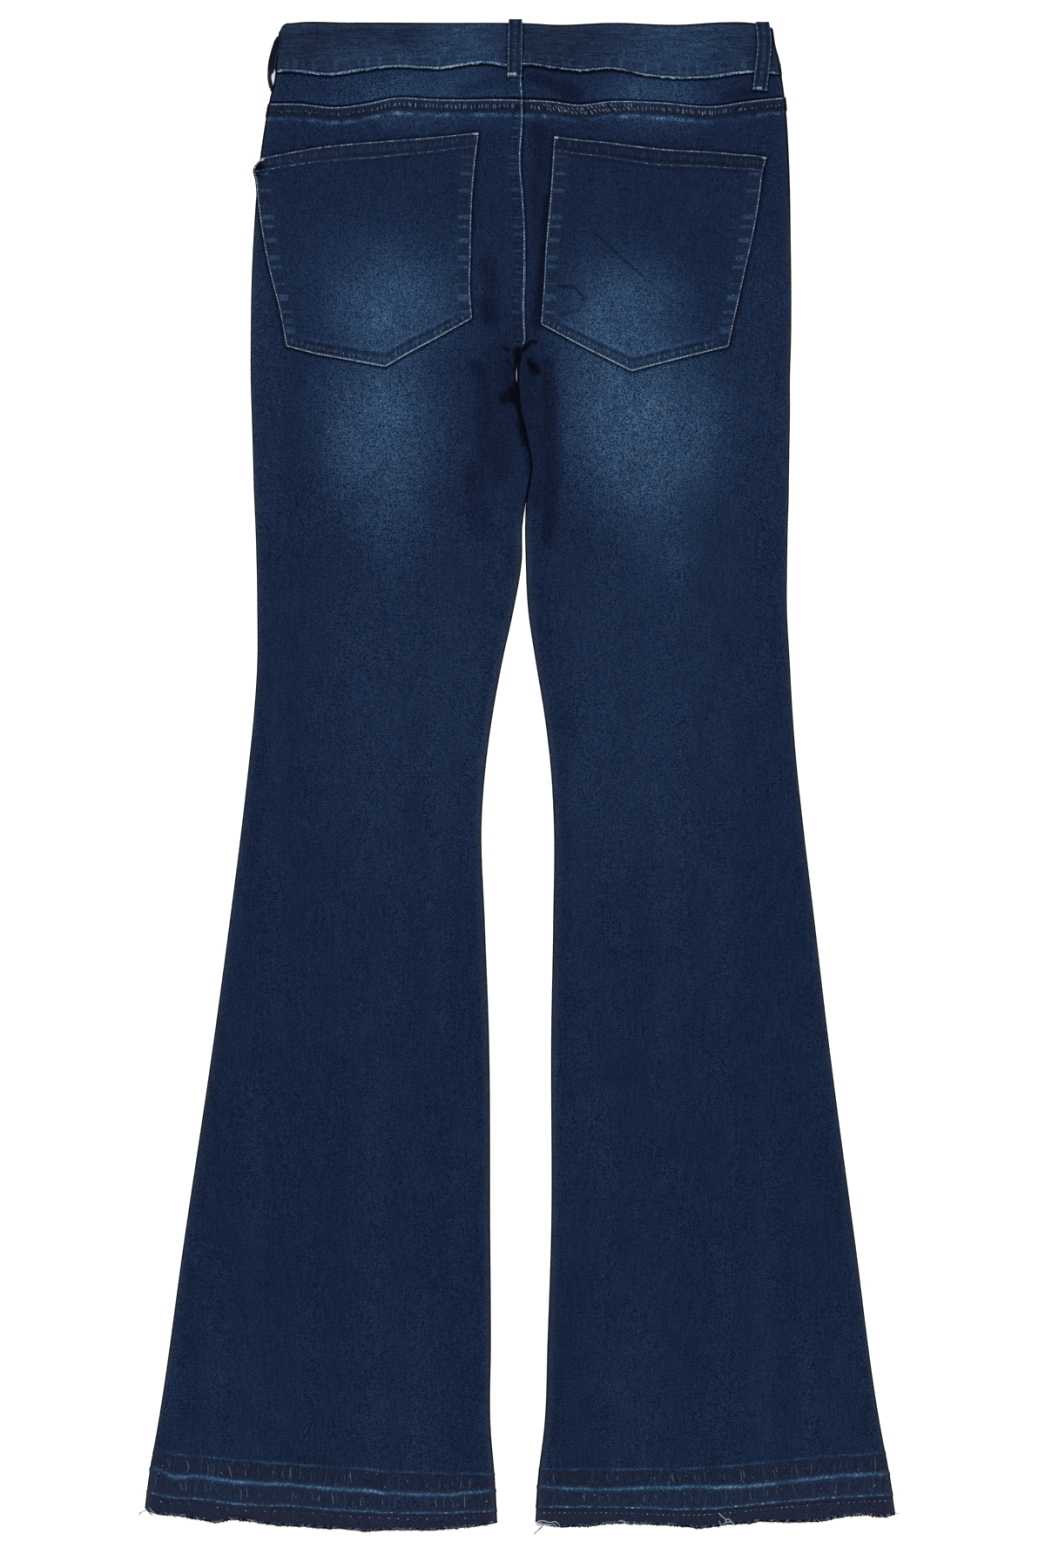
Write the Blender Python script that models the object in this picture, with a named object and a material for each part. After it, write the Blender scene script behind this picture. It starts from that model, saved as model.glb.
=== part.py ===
"""Flared stretch jeans laid flat on a surface, back side up.

The garment is a flattened tube. Its front panels lie on the surface and its back panels lie on them.
Each sewn piece is one closed wall, built as an outer and an inner grid of points joined round the rim.
Sizes are in millimetres: "across" runs to the right from the middle, "down" runs from the waist to the hem.
The finished objects are in metres, with the waist towards +Y and the back of the garment towards +Z.
"""

import math

import bmesh
import bpy
import numpy as np
from mathutils import Vector
from mathutils.bvhtree import BVHTree

# Driving sizes, in millimetres.
MM = 0.001
LENGTH = 1110.4  # top of the centre belt loop to the lowest point of the hems
PLY = 1.2  # one layer of denim
BAND_PLY = 2.2  # waistband, outer and inner layer pressed together
SEAM_GAP = 0.3  # between neighbouring pieces
AIR = 0.6  # between the front and the back layer
LOOP_ROOM = 2.7  # how far the front belt loops hold the waist off the surface
CROTCH_DOWN = 244.0
FRONT_HEM_SHORT = 2.5  # how far the front hem stays back from the back hem
ROLL_STEPS = 3  # facets round a folded side edge

# Rows of the outline: how far down, and where the four long edges lie there.
OUTLINE_COLUMNS = ("down", "left_outer", "left_inner", "right_inner", "right_outer")
OUTLINE = (
    (6.0, -176.6, 3.2, 3.2, 185.6),
    (21.0, -178.0, 3.2, 3.2, 187.8),
    (32.0, -179.2, 3.2, 3.2, 190.8),
    (42.0, -179.6, 3.2, 3.2, 192.2),
    (61.4, -184.4, 3.6, 3.6, 194.8),
    (107.5, -191.7, 1.2, 1.2, 197.8),
    (165.0, -196.2, 3.6, 3.6, 199.0),
    (CROTCH_DOWN, -198.1, 1.6, 1.6, 199.0),
    (262.0, -198.1, -2.6, -2.6, 198.4),
    (288.0, -197.4, -0.8, -0.8, 198.4),
    (300.0, -197.0, 3.0, 3.0, 198.3),
    (314.0, -196.6, 5.9, 5.9, 198.0),
    (328.0, -196.2, 8.6, 8.6, 197.8),
    (341.0, -195.9, 7.0, 7.0, 197.6),
    (354.0, -195.4, 4.2, 4.8, 197.3),
    (372.0, -194.4, 1.8, 3.9, 196.6),
    (396.0, -193.6, 1.5, 4.3, 196.2),
    (434.0, -193.0, -4.8, 6.2, 196.0),
    (472.0, -193.0, -13.1, 11.8, 198.0),
    (511.0, -195.5, -20.2, 18.2, 200.2),
    (549.0, -199.4, -25.3, 22.7, 203.2),
    (588.0, -203.8, -28.2, 25.0, 207.4),
    (664.0, -213.4, -26.0, 24.6, 216.4),
    (741.0, -223.7, -23.2, 23.2, 225.4),
    (895.0, -246.4, -22.1, 23.2, 245.6),
    (1036.0, -266.6, -22.0, 17.9, 264.8),
    (1068.0, -272.3, -18.9, 13.8, 271.0),
    (1104.0, -276.8, -16.6, 11.2, 276.8),
)

# Rows that the front and the back of a leg share, from the crotch to below the knee.
SHARED_ROWS = (262, 275, 288, 300, 314, 328, 341, 354, 372, 396, 434, 472, 511, 549, 588)

# Seam lines and raw edges, as (across, down) points.
WAIST_TOP = (
    (-177.0, 9.0), (-172.0, 4.9), (-163.0, 3.2), (-125.8, 2.9), (-60.0, 3.1), (-6.7, 3.2), (4.8, 3.4),
    (27.8, 4.6), (66.2, 3.1), (117.4, 4.5), (149.4, 2.9), (165.0, 3.2), (176.0, 4.9), (187.0, 7.2),
)
WAIST_SEAM = (
    (-180.0, 39.4), (-168.0, 38.4), (-140.0, 40.7), (-119.4, 38.0), (-91.5, 34.8), (-63.8, 36.2),
    (-19.4, 32.8), (-9.7, 34.8), (4.7, 33.8), (24.1, 36.5), (44.9, 38.0), (67.1, 36.5),
    (92.2, 41.4), (135.2, 43.1), (156.0, 40.1), (172.6, 38.7), (192.0, 40.6),
)
YOKE_SEAM = (
    (-184.4, 62.7), (-161.0, 62.9), (-136.0, 65.4), (-112.3, 62.7), (-91.5, 58.5), (-63.8, 59.5),
    (1.4, 60.6), (24.1, 61.6), (42.2, 63.6), (67.1, 60.9), (100.5, 61.6), (146.2, 64.3),
    (162.9, 61.6), (194.8, 58.0),
)
HEM = {
    "left": (
        (-276.8, 1094.0), (-266.6, 1098.4), (-223.7, 1104.2), (-209.0, 1102.0), (-175.7, 1106.8),
        (-120.6, 1109.4), (-88.0, 1110.4), (-56.0, 1109.9), (-28.5, 1106.8), (-16.6, 1104.6),
    ),
    "right": (
        (11.2, 1103.4), (41.9, 1106.8), (91.8, 1106.8), (134.1, 1108.0), (159.0, 1105.4),
        (207.0, 1104.2), (245.4, 1100.0), (276.8, 1098.2),
    ),
}
HEM_LEVEL = 1105.0  # the straight line that the hem rows are counted from

# The released hem: creases left by the old turn-up, measured up from the raw edge.
HEM_CREASES = ((41.5, 0.35), (27.5, 0.6), (13.5, 0.4))  # (distance up, height of the ridge)
HEM_CREASE_WIDTH = 2.2

# Lapped seams: extra thickness beside the seam line.
FELL_WIDTH, FELL_HEIGHT = 12.4, 0.9  # centre back, on the left panel
YOKE_FELL_WIDTH, YOKE_FELL_HEIGHT = 10.4, 0.8  # below the yoke seam

# Front waist: it dips below the back waist in the middle.
FRONT_CENTRE = 2.0
FRONT_DIP = 29.0
FRONT_BAND_HEIGHT = (30.5, 35.0)  # at the sides, in the middle
BAND_OVERLAP = (-13.0, 18.0)  # the left end reaches to the second, the right end to the first
BUTTON = {"across": 3.0, "down": 51.5, "radius": 8.6, "thickness": 3.4, "room": 1.3}
SCOOP = {"start": 92.0, "depth": 76.0}  # front pocket mouth
ZIP = {"width": 26.0, "chain": 6.0, "top": 72.0, "bottom": 178.0, "tape": 0.8, "rise": 0.8}

# Back pockets: corner lines as (across, down), and side edges as (down, across).
POCKETS = {
    "left": {
        "top": ((-189.0, 101.8), (-167.9, 98.1), (-133.2, 93.3), (-91.5, 89.1), (-47.2, 84.9),
                (-30.1, 83.5)),
        "left_edge": ((101.8, -189.0), (111.6, -195.3), (119.0, -193.9), (133.8, -192.1), (160.2, -187.3),
                      (211.5, -176.2), (240.0, -170.4)),
        "right_edge": ((83.5, -30.1), (106.0, -32.6), (135.2, -35.3), (172.7, -36.5), (200.4, -37.0),
                       (219.1, -35.3)),
        "bottom": ((-170.4, 240.0), (-98.5, 255.5), (-35.3, 219.1)),
    },
    "right": {
        "top": ((25.5, 86.3), (59.9, 89.4), (101.5, 95.0), (143.2, 98.4), (175.0, 100.2), (180.9, 101.9)),
        "left_edge": ((86.3, 25.5), (133.8, 22.5), (165.7, 19.6), (200.4, 17.6), (222.9, 15.9)),
        "right_edge": ((101.9, 180.9), (110.2, 177.9), (156.0, 172.3), (193.5, 164.0), (239.9, 152.9)),
        "bottom": ((15.9, 222.9), (82.5, 258.1), (152.9, 239.9)),
    },
}
POCKET_PLY = 1.1
POCKET_AIR = 0.5  # between the pocket and the leg
POCKET_TURNING, POCKET_TURNING_HEIGHT = 11.0, 0.5  # turned-in allowance at the sides and point
POCKET_MOUTH, POCKET_MOUTH_HEIGHT = 11.5, 0.9  # hemmed mouth

# Soft folds of the back layer: from, to, half width, height (a trough is negative).
FOLD_COLUMNS = ("start", "end", "half_width", "height")
FOLDS = (
    ((-10.0, 265.0), (-13.0, 280.0), 7.0, -2.4),
    ((11.5, 252.0), (7.0, 262.0), 5.0, -2.0),
    ((-13.0, 238.0), (-4.0, 246.0), 4.0, -1.6),
    ((12.0, 232.0), (4.0, 242.0), 4.0, -1.6),
    ((-4.0, 288.0), (1.0, 318.0), 5.0, -1.8),
    ((20.0, 262.0), (19.0, 350.0), 9.0, -1.1),
    ((-30.0, 272.0), (-19.0, 330.0), 9.0, -1.1),
    ((-31.0, 234.0), (-28.0, 258.0), 9.0, -0.8),
    ((-22.0, 195.0), (-20.0, 228.0), 7.0, -0.7),
    ((12.0, 146.0), (12.5, 222.0), 6.0, -0.8),
    ((-60.0, 520.0), (-95.0, 760.0), 26.0, 0.7),
    ((70.0, 500.0), (118.0, 780.0), 28.0, 0.7),
    ((-150.0, 560.0), (-190.0, 860.0), 24.0, 0.5),
    ((-105.0, 800.0), (-110.0, 1040.0), 30.0, 0.6),
    ((160.0, 600.0), (195.0, 900.0), 26.0, 0.5),
    ((90.0, 850.0), (95.0, 1040.0), 30.0, 0.6),
    ((45.0, 740.0), (150.0, 715.0), 10.0, 0.5),
)

# Finishes: base colour (linear), roughness, metallic.
FINISHES = {
    "indigo": ((0.010, 0.021, 0.054), 0.88, 0.0),
    "indigo_worn": ((0.016, 0.036, 0.082), 0.88, 0.0),
    "indigo_dark": ((0.008, 0.017, 0.044), 0.88, 0.0),
    "copper": ((0.42, 0.23, 0.14), 0.38, 1.0),
}

surfaces = {}  # name of a finished piece: the tree that rays are cast on


def ease(value, start, end):
    """0 before start, 1 after end, smooth between them; start may be the larger."""
    t = np.clip((value - start) / (end - start), 0.0, 1.0)
    return t * t * (3 - 2 * t)


def curve(points):
    """A smooth function through (x, y) points, level beyond the first and the last."""
    x, y = (np.array(values, float) for values in zip(*points))
    slope = np.gradient(y, x)

    def at(value):
        value = np.clip(value, x[0], x[-1])
        k = int(np.clip(np.searchsorted(x, value) - 1, 0, len(x) - 2))
        step = x[k + 1] - x[k]
        t = (value - x[k]) / step
        return float(
            (2 * t**3 - 3 * t**2 + 1) * y[k]
            + (t**3 - 2 * t**2 + t) * step * slope[k]
            + (3 * t**2 - 2 * t**3) * y[k + 1]
            + (t**3 - t**2) * step * slope[k + 1]
        )

    return at


def broken_line(points):
    """Straight runs between (x, y) points."""
    x, y = zip(*points)
    return lambda value: float(np.interp(value, x, y))


def mix(a, b, t):
    return a + (b - a) * t


outline = {
    name: curve([(row[0], row[column]) for row in OUTLINE])
    for column, name in enumerate(OUTLINE_COLUMNS)
    if column
}
waist_top, waist_seam, yoke_seam = curve(WAIST_TOP), curve(WAIST_SEAM), curve(YOKE_SEAM)
hem_line = {side: curve(points) for side, points in HEM.items()}


def front_sag(across):
    """0 at the side folds, 1 at the middle of the front."""
    half = 180.0 if across < FRONT_CENTRE else 190.0
    share = min(abs(across - FRONT_CENTRE) / half, 1.0)
    return math.cos(share * math.pi / 2) ** 2


def front_band_seam(across):
    sides = mix(waist_seam(-180.0), waist_seam(192.0), float(ease(across, -60.0, 60.0)))
    return sides + FRONT_DIP * front_sag(across)


def front_band_top(across):
    return front_band_seam(across) - mix(*FRONT_BAND_HEIGHT, front_sag(across))


def scoop_line(across):
    """The front pocket mouth: from the band seam at SCOOP start, round to the side fold."""
    out = abs(across - FRONT_CENTRE)
    side = 184.0 if across < FRONT_CENTRE else 194.0
    if out <= SCOOP["start"] + 0.6:
        return front_band_seam(across)
    share = max((side - out) / (side - SCOOP["start"]), 0.0)
    round_part = math.sqrt(max(1 - share**2, 0.0))
    return mix(front_band_seam(across), waist_seam(across) + SCOOP["depth"], round_part)


def lift(across, down):
    """Height of the underside over the surface: loops and button hold the waist up."""
    from_button = math.hypot(across - BUTTON["across"], down - BUTTON["down"])
    return LOOP_ROOM * ease(down, 150.0, 96.0) + BUTTON["room"] * ease(from_button, 42.0, 11.0)


def hollow(across, down):
    """Height of the back layer's inside over the underside: the front layer, its trims and air."""
    from_middle = abs(across - FRONT_CENTRE)
    room = PLY + AIR
    room += 1.6 * ease(down, 166.0, 128.0)
    band_lap = 2.6 * ease(from_middle, 46.0, 22.0) * ease(down, 96.0, 74.0) * ease(down, 6.0, 26.0)
    zip_room = 2.2 * ease(from_middle, 38.0, 18.0) * ease(down, 214.0, 186.0) * ease(down, 50.0, 70.0)
    room += max(band_lap, zip_room)
    crotch = math.hypot((across - 2.0) / 46.0, (down - 268.0) / 62.0)
    room += 2.2 * ease(crotch, 1.0, 0.15)
    return room


def folds(across, down):
    """Soft folds of the back layer: the depth of each fades from its line and towards its ends."""
    total = 0.0
    for row in FOLDS:
        fold = dict(zip(FOLD_COLUMNS, row))
        run = np.subtract(fold["end"], fold["start"])
        offset = np.subtract((across, down), fold["start"])
        along = float(np.clip(offset @ run / (run @ run), 0.0, 1.0))
        away = float(np.linalg.norm(offset - along * run))
        total += fold["height"] * float(ease(away, fold["half_width"] * 1.6, 0.0))
    return total


def roll(depth, turn):
    """Points round an edge that folds over by turn (radians), as (back from the edge, drop, tilt)."""
    length = (depth - SEAM_GAP) / 2 * math.pi / 2
    tilts = [turn * k / ROLL_STEPS for k in range(ROLL_STEPS + 1)]
    if turn < 0.01:
        return [(length * (1 - k / ROLL_STEPS), 0.0, 0.0) for k in range(ROLL_STEPS + 1)]
    radius = length / turn
    reach = radius * math.sin(turn)
    return [(reach - radius * math.sin(t), radius * (1 - math.cos(t)), t) for t in tilts]


def material(name, finish):
    colour, roughness, metallic = FINISHES[finish]
    made = bpy.data.materials.new(name)
    made.use_nodes = True
    shader = made.node_tree.nodes["Principled BSDF"]
    shader.inputs["Base Color"].default_value = (*colour, 1.0)
    shader.inputs["Roughness"].default_value = roughness
    shader.inputs["Metallic"].default_value = metallic
    return made


def to_world(across, down, height):
    return Vector((across * MM, (LENGTH / 2 - down) * MM, height * MM))


def add_object(name, vertices, faces, finish):
    """One named object from points in metres, with its normals facing out."""
    mesh = bpy.data.meshes.new(name)
    work = bmesh.new()
    made = [work.verts.new(v) for v in vertices]
    for face in faces:
        work.faces.new([made[i] for i in face])
    bmesh.ops.recalc_face_normals(work, faces=work.faces)
    work.to_mesh(mesh)
    surfaces[name] = BVHTree.FromBMesh(work)
    work.free()
    mesh.shade_smooth()
    mesh.set_sharp_from_angle(angle=math.radians(40))
    mesh.materials.append(material(name, finish))
    placed = bpy.data.objects.new(name, mesh)
    bpy.context.scene.collection.objects.link(placed)
    return placed


def wall(name, outer, inner, finish):
    """A closed wall between two grids of points with the same rows and columns."""
    rows, columns = len(outer), len(outer[0])
    vertices = [p for grid in (outer, inner) for row in grid for p in row]
    second = rows * columns

    def at(row, column, grid=0):
        return grid * second + row * columns + column

    faces = []
    for r in range(rows - 1):
        for c in range(columns - 1):
            faces.append((at(r, c), at(r + 1, c), at(r + 1, c + 1), at(r, c + 1)))
            faces.append((at(r, c, 1), at(r, c + 1, 1), at(r + 1, c + 1, 1), at(r + 1, c, 1)))
    rim = [(0, c) for c in range(columns)]
    rim += [(r, columns - 1) for r in range(1, rows)]
    rim += [(rows - 1, c) for c in range(columns - 2, -1, -1)]
    rim += [(r, 0) for r in range(rows - 2, 0, -1)]
    for here, after in zip(rim, rim[1:] + rim[:1]):
        faces.append((at(*here), at(*after), at(*after, 1), at(*here, 1)))
    return add_object(name, vertices, faces, finish)


def surface_height(names, across, down, from_above=True):
    """Height of the highest (or, from below, the lowest) finished surface at a point, or None."""
    start = to_world(across, down, 60.0 if from_above else -60.0)
    way = Vector((0, 0, -1 if from_above else 1))
    found = [hit[0].z / MM for name in names if (hit := surfaces[name].ray_cast(start, way))[0]]
    if not found:
        return None
    return max(found) if from_above else min(found)


def edge_points(edge, row, down_at, ply):
    """Where a row meets one long edge, and the points of the fold there."""
    line, fold = edge
    across = line(LENGTH / 2)
    for _ in range(4):
        down = down_at(across, row)
        across = line(down)
    if fold is None:
        return across, [(0.0, 0.0, 0.0)]
    return across, roll(hollow(across, down) + ply, fold(down))


def cloth_piece(
    name, left, right, rows, down_at, columns, ply, face, finish="indigo", extra=None, raise_by=None
):
    """A cloth wall between two long edges.

    left, right: (across at a given down, fold-over angle there or None for a plain end).
    down_at(across, row): how far down a point lies. columns(start, stop): across of the flat points.
    face: 1 for the back layer, -1 for the front. extra: more thickness outside. raise_by: lifts the wall.
    """
    outer, inner = [], []
    for row in rows:
        start, left_points = edge_points(left, row, down_at, ply)
        stop, right_points = edge_points(right, row, down_at, ply)
        width = stop - start
        points = [(back, drop, -tilt) for back, drop, tilt in reversed(left_points)]
        points += [(across - start, 0.0, 0.0) for across in columns(start, stop)]
        points += [(width - back, drop, tilt) for back, drop, tilt in right_points]
        outer_row, inner_row = [], []
        for place, drop, tilt in points:
            across = start + place
            down = down_at(across, row)
            more = extra(across, down, place, width, row) if extra else 0.0
            height = lift(across, down) + (raise_by(across, down) if raise_by else 0.0)
            if face > 0:
                inside = min(ease(place, 1.0, 9.0), ease(width - place, 1.0, 9.0)) if tilt == 0 else 0.0
                room = hollow(across, down)
                height += room + ply + inside * max(folds(across, down), PLY + SEAM_GAP - room) - drop
            else:
                height += drop
            sine, cosine = math.sin(tilt), face * math.cos(tilt)
            outer_row.append(to_world(across + sine * more, down, height + cosine * more))
            inner_row.append(to_world(across - sine * ply, down, height - cosine * ply))
        outer.append(outer_row)
        inner.append(inner_row)
    return wall(name, outer, inner, finish)


def folded(down):
    return math.pi / 2


def inseam_fold(down):
    """Flat at the centre seam above the crotch, folded over at the inseam below it."""
    return math.pi / 2 * float(ease(down, CROTCH_DOWN - 4, CROTCH_DOWN + 16))


def long_edges(side, inner_fold):
    """The two long edges of a piece, each with its fold; the halves stay a seam gap apart."""
    outer = (outline[f"{side}_outer"], folded)
    inner_line = outline[f"{side}_inner"]
    if side == "left":
        return outer, (lambda down: inner_line(down) - SEAM_GAP / 2, inner_fold)
    return (lambda down: inner_line(down) + SEAM_GAP / 2, inner_fold), outer


def leg_down(side, top_line, top_level):
    """Rows of a leg: parallel to its top seam at the top and to its hem at the bottom."""

    def at(across, row):
        top_wave = top_line(across) - top_level
        hem_wave = hem_line[side](across) - HEM_LEVEL
        return row + top_wave * ease(row, top_level + 190, top_level) + hem_wave * ease(row, 700, 1050)

    return at


def back_columns(side):
    """Columns of a back piece: close together at the lapped centre seam, even from there to the side."""
    near = (FELL_WIDTH - 0.8, FELL_WIDTH + 0.8, 21.0, 30.0, 44.0, 62.0)

    def at(start, stop):
        seam, edge, sign = (stop, start, -1) if side == "left" else (start, stop, 1)
        places = [seam + sign * place for place in near]
        places += [mix(places[-1], edge, share) for share in (0.22, 0.4, 0.58, 0.76, 0.92)]
        return sorted(places)

    return at


def back_leg(side):
    level = 61.5
    top = [level + SEAM_GAP / 2, level + YOKE_FELL_WIDTH - 0.8, level + YOKE_FELL_WIDTH + 0.8]
    body = [100, 130, 160, 190, 212, 228, 238, 246, 254, *SHARED_ROWS, 650, 720, 800, 880, 960, 1030]
    steps = (-HEM_CREASE_WIDTH, 0, HEM_CREASE_WIDTH)
    hem = [HEM_LEVEL - up + step for up, _ in HEM_CREASES for step in steps]
    left, right = long_edges(side, inseam_fold)

    def extra(across, down, place, width, row):
        """Lapped seams, then the creases of the released hem."""
        more = YOKE_FELL_HEIGHT * ease(row, level + YOKE_FELL_WIDTH + 0.5, level + YOKE_FELL_WIDTH - 0.5)
        if side == "left":
            beside = ease(width - place, FELL_WIDTH + 0.5, FELL_WIDTH - 0.5) * ease(down, 242, 232)
            more = max(more, FELL_HEIGHT * beside)
        for up, height in HEM_CREASES:
            more += height * max(0.0, 1 - abs(HEM_LEVEL - up - row) / HEM_CREASE_WIDTH)
        return float(more)

    cloth_piece(
        f"back_leg_{side}", left, right, top + body + hem + [HEM_LEVEL],
        leg_down(side, yoke_seam, level), back_columns(side), PLY, 1, extra=extra,
    )


def front_stations(side, edge):
    """Columns that the front band, the front leg and the pocket facing share."""
    sign = -1 if side == "left" else 1
    middle = [FRONT_CENTRE + sign * place for place in (16.0, 34.0, 53.0, 72.0, SCOOP["start"])]
    return sorted(middle + [mix(middle[-1], edge, share) for share in (0.04, 0.14, 0.3, 0.5, 0.7, 0.88)])


def front_leg(side):
    """The front panel lies on the surface. Its top follows the band seam and the pocket mouth."""
    left, right = long_edges(side, inseam_fold)
    straight = leg_down(side, lambda across: 0.0, 0.0)
    top_row, blend_row = 0.0, 262.0

    def columns(start, stop):
        """The places that the stations take at the pocket mouth, spread to the width of the row."""
        edge = outline[f"{side}_outer"](scoop_line(-184.0 if side == "left" else 194.0))
        shares = [(place - FRONT_CENTRE) / (edge - FRONT_CENTRE) for place in front_stations(side, edge)]
        centre, side_edge = (stop, start) if side == "left" else (start, stop)
        return sorted(mix(centre, side_edge, share) for share in shares)

    def down_at(across, row):
        if row >= blend_row:
            return straight(across, row)
        return mix(scoop_line(across) + SEAM_GAP, straight(across, blend_row), row / blend_row)

    rows = [top_row, 30, 66, 100, 140, 180, 215, 235, 248, *SHARED_ROWS, 680, 780, 880, 980, 1060]
    rows.append(HEM_LEVEL - FRONT_HEM_SHORT)
    cloth_piece(f"front_leg_{side}", left, right, rows, down_at, columns, PLY, -1)


def pocket_facing(side):
    """The denim that shows inside a front pocket mouth; it passes behind the front panel's mouth edge."""
    sign = -1 if side == "left" else 1
    side_edge = outline[f"{side}_outer"]
    inner_end = FRONT_CENTRE + sign * (SCOOP["start"] - 9.0)
    fold = -184.0 if side == "left" else 194.0

    def behind(across, down):
        return (PLY + SEAM_GAP) * float(ease(abs(side_edge(down) - across), 3.5, 12.0))

    def down_at(across, row):
        passed = mix(-SEAM_GAP, 9.0, float(ease(abs(fold - across), 15.0, 30.0)))
        return mix(front_band_seam(across) + SEAM_GAP, scoop_line(across) + passed, row)

    def columns(start, stop):
        edge = start if side == "left" else stop
        return [place for place in front_stations(side, edge) if start + 1 < place < stop - 1]

    inner_line = (lambda down: inner_end, None)
    fold_line = (side_edge, folded)
    left, right = (fold_line, inner_line) if side == "left" else (inner_line, fold_line)
    cloth_piece(
        f"pocket_facing_{side}", left, right, [0, 0.25, 0.5, 0.75, 1.0], down_at, columns, PLY, -1,
        finish="indigo_dark", raise_by=behind,
    )


def yoke(side):
    def down_at(across, row):
        return mix(waist_seam(across) + SEAM_GAP / 2, yoke_seam(across) - SEAM_GAP / 2, row)

    def extra(across, down, place, width, row):
        if side == "right":
            return 0.0
        return FELL_HEIGHT * float(ease(width - place, FELL_WIDTH + 0.5, FELL_WIDTH - 0.5))

    cloth_piece(
        f"yoke_{side}", *long_edges(side, None), [0, 0.33, 0.66, 1.0], down_at, back_columns(side), PLY, 1,
        finish="indigo_worn", extra=extra,
    )


def rounded(across, down, place, width, row):
    """A band's folded top edge: its outermost row is set in."""
    return -0.75 if row == 1.0 else 0.0


def waistband_back():
    def down_at(across, row):
        return mix(waist_seam(across) - SEAM_GAP / 2, waist_top(across), row)

    def columns(start, stop):
        seam = outline["left_inner"](waist_seam(0.0))
        return back_columns("left")(start, seam) + [seam] + back_columns("right")(seam, stop)

    cloth_piece(
        "waistband_back", (outline["left_outer"], folded), (outline["right_outer"], folded),
        [0.0, 0.25, 0.5, 0.75, 0.975, 1.0], down_at, columns, BAND_PLY, 1,
        finish="indigo_worn", extra=rounded,
    )


def waistband_front(side):
    """The left end laps under the right one in the middle, and carries the buttonhole."""
    end = BAND_OVERLAP[1] if side == "left" else BAND_OVERLAP[0]
    fold_line = (outline[f"{side}_outer"], folded)
    end_line = (lambda down: end, None)
    left, right = (fold_line, end_line) if side == "left" else (end_line, fold_line)

    def down_at(across, row):
        return mix(front_band_seam(across) - SEAM_GAP / 2, front_band_top(across), row)

    def lapped(across, down):
        """The right end climbs over the left end."""
        if side == "left":
            return 0.0
        return (BAND_PLY + SEAM_GAP) * float(ease(across, BAND_OVERLAP[1] + 16, BAND_OVERLAP[1] + 1))

    def columns(start, stop):
        edge = start if side == "left" else stop
        sign = -1 if side == "left" else 1
        lap = [FRONT_CENTRE - sign * place for place in (0.0, 7.0)] + [end + sign * 0.8, end + sign * 4.0]
        return sorted(front_stations(side, edge) + [place for place in lap if start < place < stop])

    cloth_piece(
        f"waistband_front_{side}", left, right, [0.0, 0.33, 0.66, 0.97, 1.0], down_at, columns,
        BAND_PLY, -1, extra=rounded, raise_by=lapped,
    )


def back_pocket(side):
    """A patch pocket: its underside follows the leg's faceted surface, moved out by the seam gap."""
    shape = POCKETS[side]
    top, bottom = curve(shape["top"]), broken_line(shape["bottom"])
    left_edge, right_edge = curve(shape["left_edge"]), curve(shape["right_edge"])
    ends = (shape["top"][0][0], shape["top"][-1][0])
    low_ends = (shape["bottom"][0][0], shape["bottom"][-1][0])
    tip = (shape["bottom"][1][0] - low_ends[0]) / (low_ends[1] - low_ends[0])
    depth = 155.0
    width = ends[1] - ends[0]
    turn, step = POCKET_TURNING / width, 0.9 / width
    shares = [0.0, turn - step, turn + step, mix(turn, tip, 0.5), tip, mix(tip, 1 - turn, 0.5)]
    shares += [1 - turn - step, 1 - turn + step, 1.0]
    rows = [0.0, (POCKET_MOUTH - 0.6) / depth, (POCKET_MOUTH + 0.6) / depth, 0.25, 0.42, 0.58, 0.74]
    rows += [1 - (POCKET_TURNING + 0.9) / depth, 1 - (POCKET_TURNING - 0.9) / depth, 1.0]
    leg = [f"back_leg_{side}"]
    outer, inner = [], []
    for row in rows:
        outer_row, inner_row = [], []
        for share in shares:
            down = mix(top(mix(*ends, share)), bottom(mix(*low_ends, share)), row)
            left_down, right_down = (mix(top(ends[k]), bottom(low_ends[k]), row) for k in (0, 1))
            across = mix(left_edge(left_down), right_edge(right_down), share)
            fold = outline["left_outer"](down) + 3.2
            under = surface_height(leg, max(across, fold), down) + POCKET_AIR
            edge = min(share * width, (1 - share) * width, (1 - row) * depth)
            turned = POCKET_TURNING_HEIGHT * ease(edge, POCKET_TURNING + 0.6, POCKET_TURNING - 0.6)
            hemmed = POCKET_MOUTH_HEIGHT * ease(row * depth, POCKET_MOUTH + 0.4, POCKET_MOUTH - 0.4)
            thick = POCKET_PLY + max(turned, hemmed)
            outer_row.append(to_world(across, down, under + thick))
            inner_row.append(to_world(across, down, under))
        outer.append(outer_row)
        inner.append(inner_row)
    wall(f"back_pocket_{side}", outer, inner, "indigo_worn")


LOOP_WIDTH, LOOP_PLY, LOOP_ARCH = 10.2, 1.6, 0.7


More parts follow.
